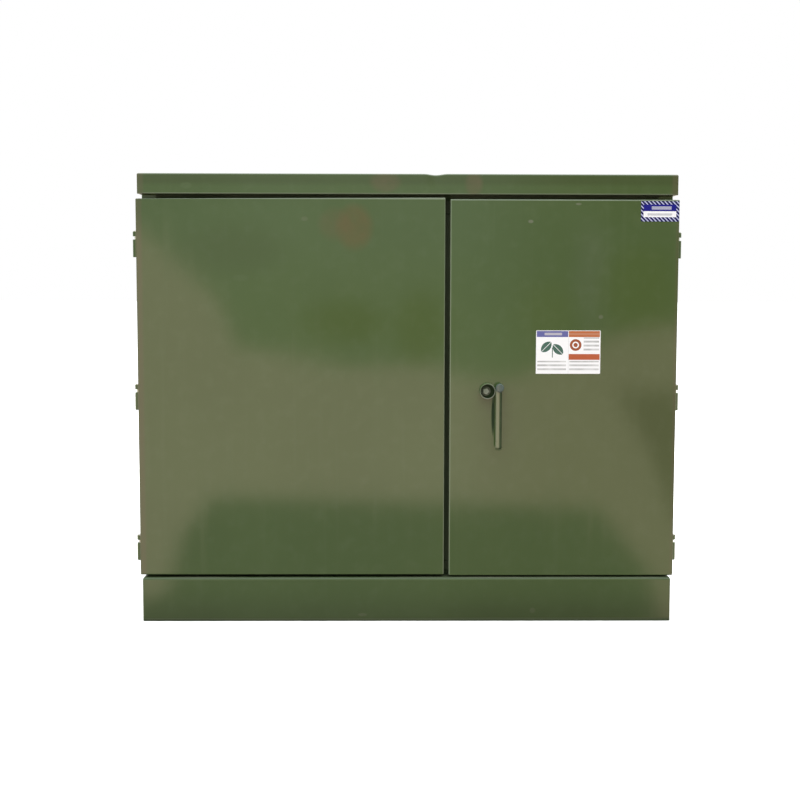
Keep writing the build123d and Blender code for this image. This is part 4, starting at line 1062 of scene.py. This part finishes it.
def striped_print(low, high):
    """Slanted stripes round a white field with a blue head."""
    material, board, place, x, z, wide, tall = blank_print("striped_print", low, high)
    white, blue = (0.84, 0.86, 0.93, 1), (0.002, 0.003, 0.21, 1)
    deep, pale, grey = (0.001, 0.002, 0.080, 1), (0.50, 0.53, 0.80, 1), (0.20, 0.22, 0.28, 1)
    pitch, deep_share = 0.0113, 0.66
    stripe = ((x + z) / pitch + 40.0).maths("FRACT").between(0.0, deep_share)
    field = x.between(0.0070, wide - 0.0085) * z.between(0.0120, tall - 0.0095)
    head = field * z.between(0.0285, tall - 0.0095)
    rule = x.between(0.018, wide - 0.020) * z.between(0.0165, 0.0225)
    dash = x.between(0.030, wide - 0.022) * z.between(0.0330, 0.0420)
    colour = board.layered(
        pale, (stripe, deep), (field, white), (head, blue), (rule * 0.50, grey),
        (dash * 0.42, white),
    )
    vinyl(board, colour, place)
    return material


LARGE_LOW, LARGE_HIGH = (0.3625, 0.7110), (0.5450, 0.8335)
SMALL_LOW, SMALL_HIGH = (0.6535, 1.1400), (0.7610, 1.1965)
sticker("two_panel_label", LARGE_LOW, LARGE_HIGH, two_panel_print(LARGE_LOW, LARGE_HIGH))
sticker("striped_label", SMALL_LOW, SMALL_HIGH, striped_print(SMALL_LOW, SMALL_HIGH), 0.0012)

# Studio: a wide pale floor, a soft dome of light with a warm glow low in front, which
# the glossy doors mirror, and two large soft lamps overhead. The camera stands about
# 4 m before the doors, at chest height.

floor_mesh = bpy.data.meshes.new("floor")
FLOOR_HALF = 40.0
floor_mesh.from_pydata(
    [(-FLOOR_HALF, -FLOOR_HALF, 0), (FLOOR_HALF, -FLOOR_HALF, 0),
     (FLOOR_HALF, FLOOR_HALF, 0), (-FLOOR_HALF, FLOOR_HALF, 0)], [], [(0, 1, 2, 3)])
floor = into_scene("floor", floor_mesh)
floor_finish, board = new_finish("pale_floor")
grain = board.noise(board.place(), 3.0, 3.0)
pale = board.mixed(grain, (0.93, 0.93, 0.93, 1), (0.90, 0.90, 0.90, 1))
surface(board, {"Specular IOR Level": 0.1}, pale, 0.9)
floor_mesh.materials.append(floor_finish)
floor.location.z = -0.0005
floor.visible_glossy = False
floor.visible_diffuse = False

dome = bpy.data.worlds.new("soft_dome")
bpy.context.scene.world = dome
dome.use_nodes = True
board = Board(dome.node_tree)
outward = board.node("ShaderNodeTexCoord").out("Generated")
sideways, back, height = board.split(outward)
ahead = (0 - back).maths("MAXIMUM", 0.02)
side_way, up_way = sideways / ahead, height / ahead


def curve(wire, points):
    """A line through points, as a level for each value of the wire."""
    made = wire.board.node("ShaderNodeFloatCurve", {}, {1: wire + 0.5})
    bend = made.socket.node.mapping.curves[0]
    while len(bend.points) < len(points):
        bend.points.new(0.5, 0.5)
    for point, (place, level) in zip(bend.points, points):
        point.location, point.handle_type = (place + 0.5, level + 0.5), "VECTOR"
    made.socket.node.mapping.update()
    return made - 0.5


in_front = (0 - back).rise(0.55, 0.8)
DARK_GROUND = (0.30, 0.30, 0.27, 1)
colour = board.mixed(height.rise(-0.42, -0.02), DARK_GROUND, (0.60, 0.62, 0.52, 1))
ragged = height + 0.10 * (board.noise(outward, 2.4, 3.0) - 0.5)
lawn = (1 - ragged.rise(-0.075, -0.045)) * ragged.rise(-0.36, -0.25)
colour = board.layered(
    colour, (lawn, (1.45, 1.30, 1.00, 1)),
    (ragged.rise(-0.060, -0.035) * 0.8, (0.62, 0.68, 0.46, 1)),
)
leaves = board.noise(outward, 22.0, 3.0)
hedge = board.layered(
    (0.98, 1.10, 0.66, 1), (height.rise(-0.03, 0.04), (1.00, 1.14, 0.86, 1)),
    (side_way.rise(0.045, 0.155), (0.45, 0.48, 0.25, 1)),
    (leaves.rise(0.50, 0.62) * 0.5, (0.80, 0.90, 0.62, 1)),
)
TREE_CROWNS = [
    ((-0.0255, -0.0360), (0.038, 0.019), (0.68, 0.72, 0.26, 1)),
    ((0.0285, -0.0400), (0.023, 0.034), (0.68, 0.72, 0.26, 1)),
    ((-0.1030, 0.0140), (0.046, 0.022), (0.76, 0.72, 0.62, 1)),
    ((0.1480, -0.0040), (0.014, 0.050), (0.88, 0.84, 0.70, 1)),
    ((0.1840, -0.0160), (0.036, 0.040), (0.48, 0.50, 0.10, 1)),
    ((0.1180, -0.0300), (0.026, 0.026), (0.66, 0.68, 0.26, 1)),
]
for crown, half, tint in TREE_CROWNS:
    hedge = board.mixed(board.spot(side_way, up_way, crown, half), hedge, tint)
ahead_ground = board.mixed(height.rise(-0.42, -0.10), DARK_GROUND, hedge)
colour = board.layered(
    colour, (in_front, ahead_ground), (height.rise(0.12, 0.45), (0.95, 1.00, 1.04, 1)),
    (height.rise(0.50, 0.95), (2.80, 2.85, 2.90, 1)),
)
glow_top = curve(side_way, [
    (-0.45, 0.040), (-0.171, 0.032), (-0.116, -0.018), (-0.102, -0.054), (-0.057, -0.061),
    (-0.025, -0.068), (0.045, -0.066), (0.052, -0.074), (0.095, -0.076), (0.161, -0.046),
    (0.207, -0.036), (0.45, -0.03),
])
glow_foot = curve(side_way, [
    (-0.45, -0.235), (-0.158, -0.235), (-0.150, -0.225), (-0.142, -0.190), (-0.120, -0.162),
    (0.045, -0.168), (0.150, -0.170), (0.157, -0.174), (0.193, -0.216), (0.215, -0.300),
    (0.23, -0.48), (0.45, -0.49),
])
wedge_foot = curve(side_way, [
    (-0.45, -0.05), (0.10, -0.05), (0.164, -0.086), (0.192, -0.128), (0.209, -0.178),
    (0.45, -0.48),
])
glow = 1 - (up_way - glow_top).rise(-0.006, 0.004)
lit = (up_way - glow_foot).rise(-0.003, 0.006)
wedge = (up_way - wedge_foot).rise(-0.006, 0.006) * (1 - up_way.rise(-0.090, -0.078))
low = (1 - lit) * (1 - up_way.rise(-0.150, -0.130))
warm = board.mixed(side_way.rise(0.04, 0.13), (2.30, 1.84, 1.42, 1), (1.88, 1.34, 1.06, 1))
shade = board.mixed(side_way.rise(-0.02, 0.10), (0.52, 0.50, 0.42, 1), (0.34, 0.26, 0.26, 1))
wedge = wedge * in_front * side_way.rise(0.155, 0.175)
colour = board.layered(
    colour, (glow * in_front, warm), (low * in_front, shade), (wedge, (0.88, 0.36, 0.42, 1)),
)
sky = board.node("ShaderNodeBackground", {}, {"Color": colour, "Strength": 1.0})
white = board.node("ShaderNodeBackground", {}, {"Color": (1, 1, 1, 1), "Strength": 1.0})
seen = board.node("ShaderNodeLightPath").out("Is Camera Ray")
both = board.node("ShaderNodeMixShader", {}, {0: seen, 1: sky, 2: white})
board.node("ShaderNodeOutputWorld", {}, {"Surface": both})


def soft_lamp(name, place, aim, size, power):
    lamp = bpy.data.lights.new(name, "AREA")
    lamp.shape, lamp.size, lamp.size_y, lamp.energy = "RECTANGLE", size[0], size[1], power
    holder = into_scene(name, lamp)
    holder.location = place
    holder.rotation_euler = (Vector(aim) - Vector(place)).to_track_quat("-Z", "Y").to_euler()
    holder.visible_glossy = False


soft_lamp("overhead_lamp", (0.0, -0.8, 4.2), (0, 0, 0.6), (4.0, 3.0), 130.0)
soft_lamp("rear_lamp", (1.6, 3.2, 3.4), (0, 0.2, 0.7), (3.0, 2.5), 90.0)

CAMERA_PLACE, LENS, SENSOR = (-0.0751, -4.569, 1.0034), 63.8, 36.0
camera_data = bpy.data.cameras.new("camera")
camera = into_scene("camera", camera_data)
camera_data.sensor_width, camera_data.sensor_fit, camera_data.lens = SENSOR, "HORIZONTAL", LENS
yaw, pitch, roll = math.radians(0.764), math.radians(-5.25), math.radians(0.131)
forward = Vector((
    math.sin(yaw) * math.cos(pitch), math.cos(yaw) * math.cos(pitch), math.sin(pitch),
))
level = Vector((math.cos(yaw), -math.sin(yaw), 0.0))
upright = level.cross(forward)
right_way = math.cos(roll) * level + math.sin(roll) * upright
up_side = math.cos(roll) * upright - math.sin(roll) * level
turned_camera = Matrix((right_way, up_side, -forward)).transposed().to_4x4()
camera.matrix_world = Matrix.Translation(CAMERA_PLACE) @ turned_camera
bpy.context.scene.camera = camera
bpy.context.scene.view_settings.view_transform = "Standard"
